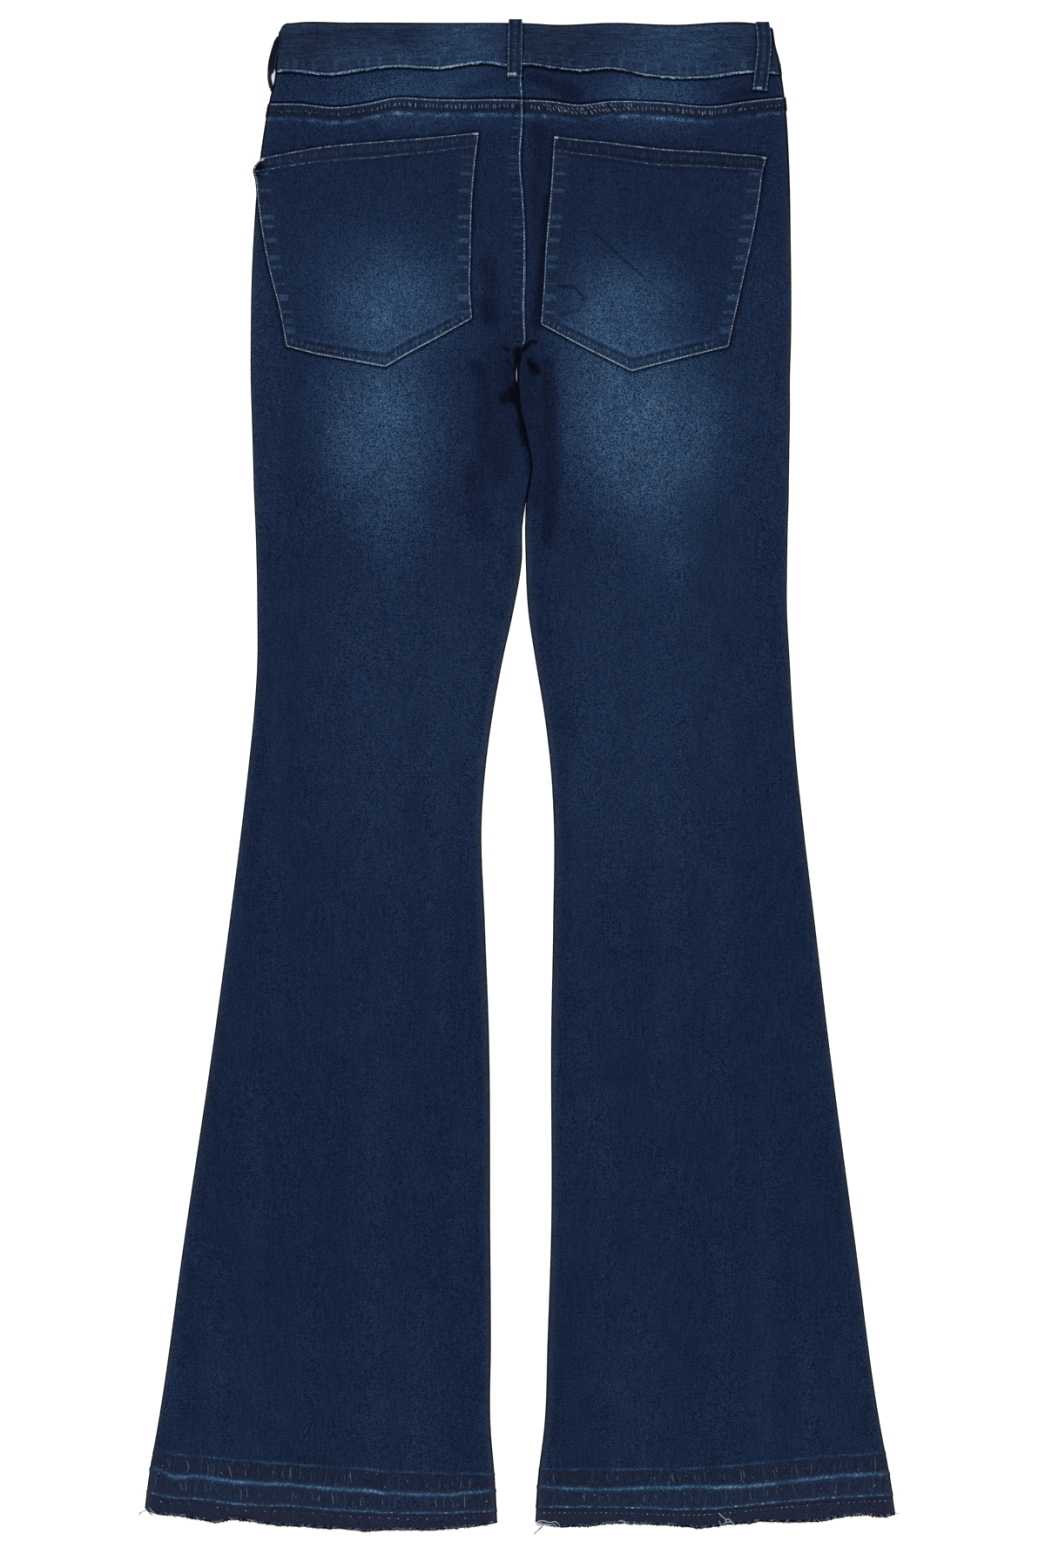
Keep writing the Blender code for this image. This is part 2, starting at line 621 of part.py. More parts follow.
def strap(name, path, half_width=LOOP_WIDTH / 2, ply=LOOP_PLY):
    """A belt loop: a folded strip through path points, each (across, down, height, lean).

    The lean (radians) turns the strip's width from level; the height is that of its inner face.
    """
    outer, inner = [], []
    points = [Vector((a, -d, z)) for a, d, z, _ in path]
    for k, (point, (_, _, _, lean)) in enumerate(zip(points, path)):
        along = (points[min(k + 1, len(points) - 1)] - points[max(k - 1, 0)]).normalized()
        level = Vector((math.cos(lean), 0, math.sin(lean)))
        sideways = (level - along * level.dot(along)).normalized()
        out = along.cross(sideways)
        out_row, in_row = [], []
        for share, crown in ((-1, -0.25), (-0.7, 0.0), (0, -0.12), (0.7, 0.0), (1, -0.25)):
            base = point + sideways * half_width * share
            in_row.append(base)
            out_row.append(base + out * (ply + crown))
        outer.append([to_world(p.x, -p.y, p.z) for p in out_row])
        inner.append([to_world(p.x, -p.y, p.z) for p in in_row])
    return wall(name, outer, inner, "indigo")


def loop_over_band(name, centres, ends, carriers, face):
    """A belt loop over a waistband: tacked on at its lower end and turned over the band's top edge.

    centres: (down, across) line of its middle. ends: (top, bottom) down.
    """
    middle = curve(centres) if len(centres) > 2 else broken_line(centres)
    top, bottom = ends

    def base(down):
        across = middle(down)
        spots = [across + shift for shift in (-LOOP_WIDTH / 2, -2.5, 0.0, 2.5, LOOP_WIDTH / 2)]
        rows = [down + shift for shift in (-1.6, 0.0, 1.6)]
        heights = [surface_height(carriers, a, d, face > 0) for a in spots for d in rows]
        heights = [h for h in heights if h is not None]
        return (max(heights) if face > 0 else min(heights)) + face * SEAM_GAP

    edge = base(top + 6.0)
    lean = 0.0 if face > 0 else math.pi
    path = [(middle(top), top + LOOP_PLY, edge - face * 1.6, lean)]
    path += [(middle(top), top + LOOP_PLY, edge - face * 0.1, lean)]
    stations = np.linspace(top + 5.0, bottom, 9)
    for down in stations:
        arch = LOOP_ARCH * math.sin(math.pi * (down - top) / (bottom - top))
        path.append((middle(down), float(down), base(float(down)) + face * max(arch, 0.0), lean))
    strap(name, path)


def side_loop():
    """The left side loop stands off the folded edge, its strip nearly upright."""
    lean = math.radians(62)
    top, bottom, bow = 13.5, 53.0, 3.4
    path = []
    for k in range(9):
        share = k / 8
        down = mix(top, bottom, share)
        fold = outline["left_outer"](down)
        ply = BAND_PLY if down < waist_seam(fold) else PLY
        depth = hollow(fold, down) + ply
        clear = (depth / 2 + SEAM_GAP) / math.sin(lean) - depth / 2
        out = clear + bow * math.sin(math.pi * share) ** 0.8
        path.append((fold - out, down, lift(fold, down) + depth / 2, lean))
    strap("belt_loop_side_left", path, half_width=4.6)


def button():
    """A plain jeans button: a domed cap on a short neck, on the outside of the front band."""
    steps = 20
    radius, thickness = BUTTON["radius"], BUTTON["thickness"]
    band = surface_height(["waistband_front_left"], BUTTON["across"], BUTTON["down"], from_above=False)
    top = band - SEAM_GAP
    profile = ((0.34, 0.0), (0.34, 0.9), (0.9, 1.1), (1.0, 1.7), (0.97, 2.5), (0.8, 3.2), (0.6, thickness))
    rings = [
        [
            to_world(
                BUTTON["across"] + radius * share * math.cos(2 * math.pi * k / steps),
                BUTTON["down"] + radius * share * math.sin(2 * math.pi * k / steps),
                top - drop,
            )
            for k in range(steps)
        ]
        for share, drop in profile
    ]
    vertices = [p for ring in rings for p in ring]
    faces = [tuple(range(steps)), tuple(reversed(range(len(vertices) - steps, len(vertices))))]
    for r in range(len(rings) - 1):
        for k in range(steps):
            after = (k + 1) % steps
            faces.append((r * steps + k, (r + 1) * steps + k, (r + 1) * steps + after, r * steps + after))
    add_object("waist_button", vertices, faces, "copper")


def fly_zip():
    """The closed zip behind the fly: its two tapes and the raised chain in one strip."""
    half, chain = ZIP["width"] / 2, ZIP["chain"] / 2
    rows = np.linspace(ZIP["top"], ZIP["bottom"], 9)
    shares = (-half, -chain - 0.6, -chain, 0.0, chain, chain + 0.6, half)
    fronts = ["front_leg_left", "front_leg_right"]
    outer, inner = [], []
    for down in rows:
        spots = [FRONT_CENTRE + shift for shift in (-half, -half / 2, -2.0, 2.0, half / 2, half)]
        near = [surface_height(fronts, a, d) for a in spots for d in (down - 2, down, down + 2)]
        base = max(h for h in near if h is not None) + SEAM_GAP
        outer_row, inner_row = [], []
        for shift in shares:
            rise = ZIP["rise"] if abs(shift) <= chain else 0.0
            outer_row.append(to_world(FRONT_CENTRE + shift, float(down), base + ZIP["tape"] + rise))
            inner_row.append(to_world(FRONT_CENTRE + shift, float(down), base))
        outer.append(outer_row)
        inner.append(inner_row)
    wall("fly_zip", outer, inner, "indigo_dark")


def build():
    for old in list(bpy.data.objects):
        bpy.data.objects.remove(old)
    for side in ("left", "right"):
        front_leg(side)
        pocket_facing(side)
        waistband_front(side)
        back_leg(side)
        yoke(side)
    waistband_back()
    for side in ("left", "right"):
        back_pocket(side)
    fly_zip()
    button()
    back = ["waistband_back", "yoke_left", "yoke_right"]
    front = [f"{kind}_{side}" for kind in ("waistband_front", "front_leg") for side in ("left", "right")]
    loop_over_band("belt_loop_centre_back", ((0.0, -3.2), (44.5, -3.8)), (0.0, 44.5), back, 1)
    side_middle = ((2.0, 176.6), (20.0, 178.6), (36.0, 177.4), (53.0, 175.8))
    loop_over_band("belt_loop_side_right", side_middle, (2.0, 52.5), back, 1)
    side_loop()
    for side, across in (("left", -74.0), ("right", 78.0)):
        top = front_band_top(across) - 3.6
        loop_over_band(
            f"belt_loop_front_{side}", ((top, across), (top + 46, across)), (top, top + 43.5), front, -1)


build()
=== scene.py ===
import math

import bpy
import numpy as np
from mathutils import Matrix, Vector
from mathutils.bvhtree import BVHTree


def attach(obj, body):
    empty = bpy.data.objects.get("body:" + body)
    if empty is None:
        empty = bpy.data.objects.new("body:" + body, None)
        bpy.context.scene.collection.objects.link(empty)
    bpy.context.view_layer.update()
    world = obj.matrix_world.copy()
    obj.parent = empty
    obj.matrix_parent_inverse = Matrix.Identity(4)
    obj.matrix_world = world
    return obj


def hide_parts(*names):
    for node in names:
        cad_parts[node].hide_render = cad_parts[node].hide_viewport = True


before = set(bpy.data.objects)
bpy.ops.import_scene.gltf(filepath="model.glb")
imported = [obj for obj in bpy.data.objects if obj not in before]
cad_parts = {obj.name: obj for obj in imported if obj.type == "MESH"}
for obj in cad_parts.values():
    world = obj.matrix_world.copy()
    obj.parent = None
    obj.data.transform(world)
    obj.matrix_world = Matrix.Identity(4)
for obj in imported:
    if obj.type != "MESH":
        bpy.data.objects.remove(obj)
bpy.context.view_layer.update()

# Flared jeans laid flat, back side up. Sizes are in millimetres: "across" runs to the right from
# the middle, "down" runs from the waist to the hem, and height is over the surface they lie on.

garment = {
    "length": 1110.4,
    "ply": 1.2,            # one layer of denim
    "bandPly": 2.2,        # waistband, both layers
    "seamGap": 0.3,
    "air": 0.6,            # between the front and the back layer
    "loopRoom": 2.7,       # the front loops hold the waist up this far
    "crotchDown": 244.0,
    "frontHemShort": 2.5,
    "rollSteps": 8,        # facets round a folded side edge
    "frontCentre": 2.0,
    "frontDip": 29.0,
    "frontBandSide": 30.5,
    "frontBandMiddle": 35.0,
    "foldAcross": {"left": -184.0, "right": 194.0},
    "pocketStart": 92.0,   # front pocket mouth, from the middle
    "pocketDepth": 76.0,
    "hemLevel": 1105.0,
    "yokeLevel": 61.5,
    "centreGap": 0.06,     # between the two back panels at their seam
    "crotchGap": 0.32,     # a short pale sliver where the legs part
    "pressed": 0.22,       # how far the legs close up below it
}
ply, bandPly, seamGap = garment["ply"], garment["bandPly"], garment["seamGap"]
middle, hemLevel, yokeLevel = garment["frontCentre"], garment["hemLevel"], garment["yokeLevel"]
sides = ("left", "right")
outward = {"left": -1, "right": 1}

# Down, then the two outer edges, and the two inner ones below the centre seam.
outerTable = (
    (6.0, -176.6, 185.6), (21.0, -178.0, 187.8), (32.0, -179.2, 190.8), (42.0, -179.6, 192.2),
    (61.4, -184.0, 194.8), (107.5, -191.3, 197.8), (165.0, -196.0, 199.2), (244.0, -197.9, 199.2),
    (262.0, -197.9, 198.6), (288.0, -197.2, 198.6), (300.0, -196.8, 198.5), (314.0, -196.4, 198.2),
    (328.0, -196.0, 198.0), (341.0, -195.7, 197.8), (354.0, -195.2, 197.6), (372.0, -194.4, 197.0),
    (396.0, -193.6, 196.6), (434.0, -193.0, 196.4), (472.0, -193.0, 198.4), (511.0, -195.5, 200.6),
    (549.0, -199.4, 203.6), (588.0, -203.8, 207.8), (664.0, -213.4, 216.8), (741.0, -223.7, 225.8),
    (895.0, -246.4, 246.0), (1036.0, -266.6, 265.4), (1068.0, -272.3, 271.5), (1104.0, -276.8, 276.8),
)
innerTable = (
    (354.0, 4.6, 4.7), (372.0, 2.0, 3.7), (396.0, 1.8, 4.1), (434.0, -4.4, 5.9), (472.0, -12.7, 11.5),
    (511.0, -19.8, 17.9), (549.0, -24.9, 22.4), (588.0, -27.8, 24.7), (664.0, -25.5, 24.3),
    (741.0, -22.6, 22.9), (895.0, -21.5, 22.7), (970.0, -21.0, 20.2), (1036.0, -21.2, 17.6),
    (1068.0, -18.5, 13.6), (1104.0, -16.4, 11.2),
)
centreLine = (  # the centre seam, then the line where the two legs press together: down, across
    (6.0, 3.2), (32.0, 2.4), (42.0, 1.5), (61.4, 2.3), (82.0, 2.1), (101.0, 0.8), (114.0, 1.1), (127.0, 2.4),
    (140.0, 3.3), (153.0, 4.0), (190.0, 4.0), (216.0, 3.4), (229.0, 4.0), (237.0, 4.2), (244.5, 0.9),
    (251.0, -1.6), (262.0, -2.4), (277.0, -1.7), (288.0, -0.6), (300.0, 2.9), (314.0, 5.9), (328.0, 8.6),
    (341.0, 7.0),
)

# Lines across the garment: across, down.
waistTopPoints = (
    (-177.0, 11.0), (-175.2, 7.6), (-172.6, 5.0), (-167.0, 4.1), (-125.8, 3.7), (-60.0, 3.9), (-6.7, 4.0),
    (4.8, 4.2), (27.8, 5.4), (66.2, 3.9), (117.4, 5.3), (149.4, 3.5), (165.0, 3.6), (176.0, 4.9),
    (187.0, 8.0),
)
waistSeamPoints = (
    (-180.0, 40.2), (-168.0, 39.9), (-140.0, 42.7), (-119.4, 40.0), (-91.5, 36.8), (-63.8, 38.2),
    (-19.4, 34.8), (-9.7, 36.8), (4.7, 35.8), (24.1, 38.5), (44.9, 40.0), (67.1, 38.5),
    (92.2, 43.4), (135.2, 45.1), (156.0, 42.1), (172.6, 40.7), (192.0, 42.6),
)
yokeSeamPoints = (
    (-184.4, 62.7), (-161.0, 62.9), (-136.0, 65.4), (-112.3, 62.7), (-91.5, 58.5), (-63.8, 59.5),
    (1.4, 60.6), (24.1, 61.6), (42.2, 63.6), (67.1, 60.9), (100.5, 61.6), (146.2, 64.3),
    (162.9, 61.6), (194.8, 58.0),
)
hemPoints = {
    "left": (
        (-276.8, 1093.4), (-269.6, 1097.2), (-253.4, 1098.8), (-236.0, 1101.8), (-223.4, 1104.3),
        (-217.6, 1103.3), (-211.3, 1101.6), (-204.0, 1102.7), (-183.7, 1105.4), (-154.9, 1107.6),
        (-126.2, 1109.2), (-113.7, 1110.3), (-101.1, 1109.6), (-56.3, 1109.6), (-33.0, 1106.9),
        (-16.6, 1104.4),
    ),
    "right": (
        (11.2, 1103.4), (20.0, 1105.9), (48.0, 1106.9), (58.0, 1106.0), (108.0, 1106.2), (120.0, 1107.4),
        (133.0, 1108.1), (150.0, 1106.2), (166.0, 1104.8), (190.0, 1103.4), (207.0, 1103.8), (222.0, 1102.7),
        (240.0, 1099.9), (256.0, 1099.2), (270.0, 1099.7), (276.8, 1098.4),
    ),
}

# The old hem's creases, from the upper one down: row level, height, light, and its own line.
hemCreases = (
    (1063.5, 0.30, 0.62, {
        "left": ((-261.8, 1052.8), (-202.9, 1058.6), (-138.2, 1063.0), (-83.2, 1066.9), (-21.1, 1068.8)),
        "right": ((18.2, 1065.0), (59.5, 1065.0), (130.6, 1064.3), (161.3, 1061.8), (213.1, 1056.6),
                  (245.8, 1054.4), (266.6, 1052.8)),
    }),
    (1077.5, 0.60, 0.96, {
        "left": ((-268.0, 1064.8), (-262.6, 1066.0), (-258.0, 1068.8), (-237.4, 1069.6), (-211.8, 1073.9),
                 (-175.4, 1075.8), (-129.3, 1079.4), (-83.2, 1082.9), (-55.7, 1083.5), (-21.1, 1080.6)),
        "right": ((13.4, 1077.8), (53.8, 1079.7), (119.0, 1077.8), (165.1, 1077.4), (213.1, 1072.0),
                  (245.8, 1068.8), (270.5, 1068.2)),
    }),
    (1091.5, 0.38, 0.82, {
        "left": ((-271.7, 1081.6), (-263.7, 1084.2), (-239.4, 1086.1), (-206.7, 1090.6), (-166.1, 1091.8),
                 (-120.3, 1095.4), (-74.2, 1097.0), (-19.2, 1095.7)),
        "right": ((13.4, 1092.5), (63.4, 1092.5), (136.3, 1093.8), (188.2, 1089.0), (236.2, 1085.1),
                  (274.3, 1083.2)),
    }),
)
foldRow = hemCreases[1][0]  # where the old hem was turned up
hemTop = 1058.0             # the leg's own cloth ends a little above the creases


def ease(value, start, end):  # 0 before start, 1 after end; start may be the larger
    t = np.clip((value - start) / (end - start), 0.0, 1.0)
    return t * t * (3 - 2 * t)


def stretch(value, start, full, fade, end):  # 1 from full to fade, easing off to start and end
    return ease(value, start, full) * ease(value, end, fade)


def mix(a, b, t):
    return a + (b - a) * t


def line(value, at, halfWidth):  # 1 on a line, fading out to both sides
    return ease(np.abs(value - at), halfWidth, 0.0)


def steps(start, stop, pitch):
    return np.linspace(start, stop, max(2, int(round(abs(stop - start) / pitch)) + 1))


def smoothLine(points):  # a smooth function through (x, y) points, level past both ends
    x, y = np.array(points, float).T
    slope = np.gradient(y, x)

    def at(value):
        value = np.clip(value, x[0], x[-1])
        k = np.clip(np.searchsorted(x, value) - 1, 0, len(x) - 2)
        step = x[k + 1] - x[k]
        t = (value - x[k]) / step
        return (
            (2 * t**3 - 3 * t**2 + 1) * y[k]
            + (t**3 - 2 * t**2 + t) * step * slope[k]
            + (3 * t**2 - 2 * t**3) * y[k + 1]
            + (t**3 - t**2) * step * slope[k + 1]
        )

    return at


def straightLine(points):
    x, y = np.array(points, float).T
    return lambda value: np.interp(value, x, y)


def wander(seed, pitch):  # smooth unevenness along a line, -1 to 1
    knots = np.random.default_rng(seed).uniform(-1, 1, 4096)

    def at(value):
        t = np.asarray(value, float) / pitch + 2048
        k = np.floor(t).astype(int)
        return mix(knots[k % 4096], knots[(k + 1) % 4096], ease(t - k, 0.0, 1.0))

    return at


def mottle(seed, pitchAcross, pitchDown):  # the same over a surface
    knots = np.random.default_rng(seed).uniform(-1, 1, (256, 256))

    def at(across, down):
        u, v = across / pitchAcross + 128, down / pitchDown + 16
        i, j = np.floor(u).astype(int), np.floor(v).astype(int)
        s, t = ease(u - i, 0.0, 1.0), ease(v - j, 0.0, 1.0)
        i, j = i % 255, j % 255
        near = mix(knots[i, j], knots[i + 1, j], s)
        return mix(near, mix(knots[i, j + 1], knots[i + 1, j + 1], s), t)

    return at


outline = {}
for k, side in enumerate(sides):
    outline[side + "Outer"] = smoothLine([(row[0], row[k + 1]) for row in outerTable])
    outline[side + "Inner"] = smoothLine(list(centreLine) + [(row[0], row[k + 1]) for row in innerTable])
waistTop, waistSeam, yokeSeam = map(smoothLine, (waistTopPoints, waistSeamPoints, yokeSeamPoints))
hemLine = {side: smoothLine(points) for side, points in hemPoints.items()}
creaseLines = {side: [smoothLine(row[3][side]) for row in hemCreases] for side in sides}


def frontSag(across):  # 1 at the front centre, 0 at the side folds
    half = np.where(across < middle, 180.0, 190.0)
    return np.cos(np.minimum(np.abs(across - middle) / half, 1.0) * math.pi / 2) ** 2


def frontBandSeam(across):
    leftEnd, rightEnd = waistSeamPoints[0][0], waistSeamPoints[-1][0]
    ends = mix(waistSeam(leftEnd), waistSeam(rightEnd), ease(across, -60.0, 60.0))
    return ends + garment["frontDip"] * frontSag(across)


def frontBandTop(across):
    return frontBandSeam(across) - mix(garment["frontBandSide"], garment["frontBandMiddle"], frontSag(across))


def scoopLine(across):  # front pocket mouth, from the band seam round to the side fold
    start, fold = garment["pocketStart"], garment["foldAcross"]
    out = np.abs(across - middle)
    side = np.where(across < middle, -fold["left"], fold["right"])
    share = np.clip((side - out) / (side - start), 0.0, 1.0)
    curved = mix(frontBandSeam(across), waistSeam(across) + garment["pocketDepth"], np.sqrt(1 - share**2))
    return np.where(out <= start + 0.6, frontBandSeam(across), curved)


buttonLook = {"across": 3.0, "down": 51.5, "radius": 8.6, "room": 1.3}


def lift(across, down):  # height of the underside
    fromButton = np.hypot(across - buttonLook["across"], down - buttonLook["down"])
    return garment["loopRoom"] * ease(down, 150.0, 96.0) + buttonLook["room"] * ease(fromButton, 42.0, 11.0)


hollowLook = {"bandLap": 2.6, "zip": 2.2, "crotch": 2.2, "underBand": 1.6}  # what lifts the back layer


def hollow(across, down):  # inside of the back layer over the underside
    look, fromMiddle = hollowLook, np.abs(across - middle)
    bandLap = look["bandLap"] * ease(fromMiddle, 46.0, 22.0) * stretch(down, 6.0, 26.0, 74.0, 96.0)
    zipRoom = look["zip"] * ease(fromMiddle, 38.0, 18.0) * stretch(down, 50.0, 70.0, 186.0, 214.0)
    crotch = np.hypot((across - 2.0) / 46.0, (down - 268.0) / 62.0)
    room = ply + garment["air"] + look["underBand"] * ease(down, 166.0, 128.0)
    return room + np.maximum(bandLap, zipRoom) + look["crotch"] * ease(crotch, 1.0, 0.15)


# Soft folds of the back layer: from, to, half width, height (a trough is negative).
creases = (
    ((-9.0, 270.0), (-12.0, 284.0), 7.0, -2.4),
    ((10.5, 254.0), (8.0, 264.0), 5.0, -2.0),
    ((-12.5, 242.0), (-4.0, 248.0), 4.0, -1.6),
    ((12.0, 237.0), (4.0, 244.0), 4.0, -1.6),
    ((-4.0, 292.0), (1.0, 322.0), 5.0, -1.8),
    ((20.0, 262.0), (19.0, 350.0), 9.0, -1.1),
    ((-30.0, 272.0), (-19.0, 330.0), 9.0, -1.1),
    ((-31.0, 234.0), (-28.0, 258.0), 9.0, -0.8),
    ((-22.0, 195.0), (-20.0, 228.0), 7.0, -0.7),
    ((12.0, 146.0), (12.5, 222.0), 6.0, -0.8),
    ((-60.0, 520.0), (-95.0, 760.0), 26.0, 0.7),
    ((70.0, 500.0), (118.0, 780.0), 28.0, 0.7),
    ((-150.0, 560.0), (-190.0, 860.0), 24.0, 0.5),
    ((-105.0, 800.0), (-110.0, 1040.0), 30.0, 0.6),
    ((160.0, 600.0), (195.0, 900.0), 26.0, 0.5),
    ((90.0, 850.0), (95.0, 1040.0), 30.0, 0.6),
    ((45.0, 740.0), (150.0, 715.0), 10.0, 0.5),
)
pocketCreases = (
    ((54.0, 158.0), (85.0, 187.0), 4.0, -0.45),
    ((85.0, 187.0), (99.0, 198.0), 4.0, -0.3),
    ((28.0, 196.0), (44.0, 214.0), 4.0, -0.35),
    ((-120.0, 128.0), (-70.0, 122.0), 9.0, -0.3),
    ((-70.0, 150.0), (-60.0, 205.0), 8.0, -0.25),
)

# Where creases and pits hide from the light: from, to, half width at each end, strength.
darkCreases = (
    ((-12.4, 241.4), (-8.2, 243.6), 0.7, 1.2, 1.05),
    ((-8.2, 243.6), (-3.8, 245.8), 0.8, 0.9, 0.60),
    ((12.6, 237.8), (8.8, 237.0), 0.7, 1.2, 1.20),
    ((8.8, 237.0), (4.4, 241.4), 1.1, 1.3, 1.10),
    ((4.6, 241.4), (-0.8, 245.6), 1.8, 2.4, 0.95),
    ((-1.6, 243.6), (-2.4, 257.0), 2.8, 1.4, 1.05),
    ((-9.0, 250.0), (-3.6, 259.0), 2.4, 2.0, 0.55),
    ((7.0, 252.2), (10.8, 257.0), 1.2, 2.6, 1.10),
    ((7.2, 251.8), (10.8, 258.0), 2.6, 4.8, 0.80),
    ((10.2, 258.4), (14.6, 261.4), 1.9, 0.5, 1.00),
    ((7.6, 247.0), (9.4, 264.0), 4.0, 4.0, 0.32),
    ((-3.0, 263.5), (-3.4, 281.0), 1.0, 2.6, 1.10),
    ((-3.4, 266.5), (-12.2, 279.6), 0.9, 1.7, 0.95),
    ((-3.2, 271.0), (-7.6, 279.4), 1.4, 2.2, 0.90),
    ((-3.6, 268.0), (-11.0, 279.0), 2.4, 4.6, 0.76),
    ((-2.2, 282.0), (0.4, 296.0), 0.7, 0.8, 0.90),
    ((0.4, 292.0), (3.2, 314.0), 0.8, 1.7, 1.00),
    ((3.4, 314.0), (7.8, 330.0), 1.0, 0.6, 0.80),
    ((8.2, 330.0), (4.6, 357.0), 0.7, 0.5, 0.90),
    ((-31.5, 255.0), (-30.0, 259.0), 4.5, 5.0, 0.45),
    ((-12.0, 253.0), (-9.0, 262.0), 3.0, 4.5, 0.40),
    ((-27.0, 258.0), (-22.0, 322.0), 6.0, 9.0, 0.26),
    ((21.5, 254.0), (23.0, 330.0), 5.0, 7.0, 0.42),
    ((23.0, 330.0), (21.0, 386.0), 6.5, 4.5, 0.40),
    ((-16.0, 288.0), (-15.0, 334.0), 6.0, 8.0, 0.22),
    ((12.0, 300.0), (16.0, 354.0), 5.0, 8.0, 0.24),
    ((21.0, 132.0), (14.6, 224.0), 3.4, 5.0, 0.62),
    ((14.0, 84.0), (15.0, 112.0), 6.0, 5.0, 0.36),
    ((12.0, 112.0), (16.0, 176.0), 5.0, 5.0, 0.24),
    ((-24.0, 176.0), (-20.0, 214.0), 5.0, 5.0, 0.26),
    ((-24.0, 210.0), (-22.0, 220.0), 6.0, 6.0, 0.50),
    ((-34.0, 332.0), (-28.0, 374.0), 8.0, 7.0, 0.24),
    ((-213.0, 1101.0), (-197.0, 1102.0), 2.4, 1.8, 0.80),
)
yokeDarkCreases = (
    ((8.0, 44.0), (40.0, 56.0), 3.0, 5.5, 0.40),
    ((-150.0, 52.0), (-118.0, 58.0), 4.0, 5.0, 0.16),
    ((-44.0, 54.0), (-18.0, 47.0), 4.0, 3.0, 0.24),
    ((150.0, 58.0), (176.0, 52.0), 3.0, 4.0, 0.28),
)
pocketDarkCreases = (
    ((54.6, 157.6), (85.0, 185.0), 0.7, 1.1, 0.50),
    ((85.0, 185.0), (112.0, 208.0), 1.1, 0.8, 0.36),
    ((27.5, 196.4), (40.0, 197.5), 0.9, 1.0, 0.60),
    ((40.0, 197.5), (47.6, 206.0), 1.0, 1.0, 0.62),
    ((47.6, 206.0), (43.0, 214.5), 1.0, 1.0, 0.58),
    ((43.0, 214.5), (30.0, 217.5), 1.0, 0.9, 0.55),
    ((148.0, 236.5), (154.0, 238.5), 1.0, 1.2, 0.40),
)


def fromCrease(across, down, start, stop):  # share of the way along a crease, and how far from it
    runAcross, runDown = stop[0] - start[0], stop[1] - start[1]
    along = ((across - start[0]) * runAcross + (down - start[1]) * runDown) / (runAcross**2 + runDown**2)
    along = np.clip(along, 0.0, 1.0)
    return along, np.hypot(across - start[0] - along * runAcross, down - start[1] - along * runDown)


def creaseShade(across, down, table):
    total = np.zeros(np.broadcast(across, down).shape)
    for start, stop, startHalf, stopHalf, strength in table:
        along, away = fromCrease(across, down, start, stop)
        half = mix(startHalf, stopHalf, along)
        total = np.maximum(total, strength * ease(away, half * 1.75, half * 0.35))
    return total


def creaseHeight(across, down, table):
    total = np.zeros(np.broadcast(across, down).shape)
    for start, stop, halfWidth, height in table:
        total += height * ease(fromCrease(across, down, start, stop)[1], halfWidth * 1.6, 0.0)
    return total


longWaves, smallWaves = mottle(11, 46.0, 250.0), mottle(12, 21.0, 34.0)


def backRelief(across, down):  # folds and the cloth's own unevenness, kept clear of the front layer
    room = hollow(across, down)
    wave = 0.45 * longWaves(across, down) * ease(down, 280.0, 420.0)
    wave = wave + 0.16 * smallWaves(across, down)
    return np.maximum(creaseHeight(across, down, creases) + wave, ply + seamGap - room)


def backHeight(across, down):
    return lift(across, down) + hollow(across, down) + ply + backRelief(across, down)


# Where the denim is worn light: across, down, half width, half height, strength.
fadeSpots = (
    (-94.0, 212.0, 48.0, 44.0, 0.62),
    (-102.0, 298.0, 43.0, 68.0, 0.68),
    (-104.0, 190.0, 62.0, 54.0, 0.20),
    (-92.0, 372.0, 26.0, 40.0, 0.26),
    (78.0, 216.0, 44.0, 40.0, 0.60),
    (96.0, 300.0, 53.0, 68.0, 0.70),
    (56.0, 262.0, 30.0, 80.0, 0.42),
    (104.0, 376.0, 30.0, 44.0, 0.30),
    (-188.0, 270.0, 16.0, 130.0, 0.09),
    (170.0, 300.0, 30.0, 130.0, 0.10),
    (-42.0, 20.0, 30.0, 24.0, 0.44),
    (-104.0, 30.0, 40.0, 12.0, 0.34),
    (113.0, 20.0, 40.0, 24.0, 0.44),
    (-78.0, 58.0, 70.0, 22.0, 0.40),
    (98.0, 60.0, 38.0, 22.0, 0.48),
    (-80.0, 470.0, 70.0, 150.0, 0.12),
    (95.0, 480.0, 70.0, 150.0, 0.14),
)
fadePatches = mottle(21, 17.0, 22.0)


def fadeAt(across, down):
    total = np.zeros(np.broadcast(across, down).shape)
    for atAcross, atDown, halfWidth, halfHeight, strength in fadeSpots:
        away = ((across - atAcross) / halfWidth) ** 2 + ((down - atDown) / halfHeight) ** 2
        total += (strength * np.exp(-0.9 * away**1.4)) ** 2
    besideCrotch = stretch(across, -4.0, 6.0, 16.0, 26.0) * ease(down, 236.0, 256.0)
    total = np.sqrt(total) * (1 - 0.8 * besideCrotch) + 0.05 * ease(down, 900.0, 1030.0)
    return np.clip(total * (1 + 0.16 * fadePatches(across, down)), 0.0, 1.0)


def rounded(distance, reach, depth):  # how a rim drops by depth within reach of its edge
    return -depth * (1 - np.sqrt(1 - ease(distance, reach, 0.0) ** 2 * 0.98))


pieces = {}     # finished piece, by its name
trees = {}      # finished piece: the tree that rays are cast on, in millimetres
madeCount = {}  # finished piece: its triangles


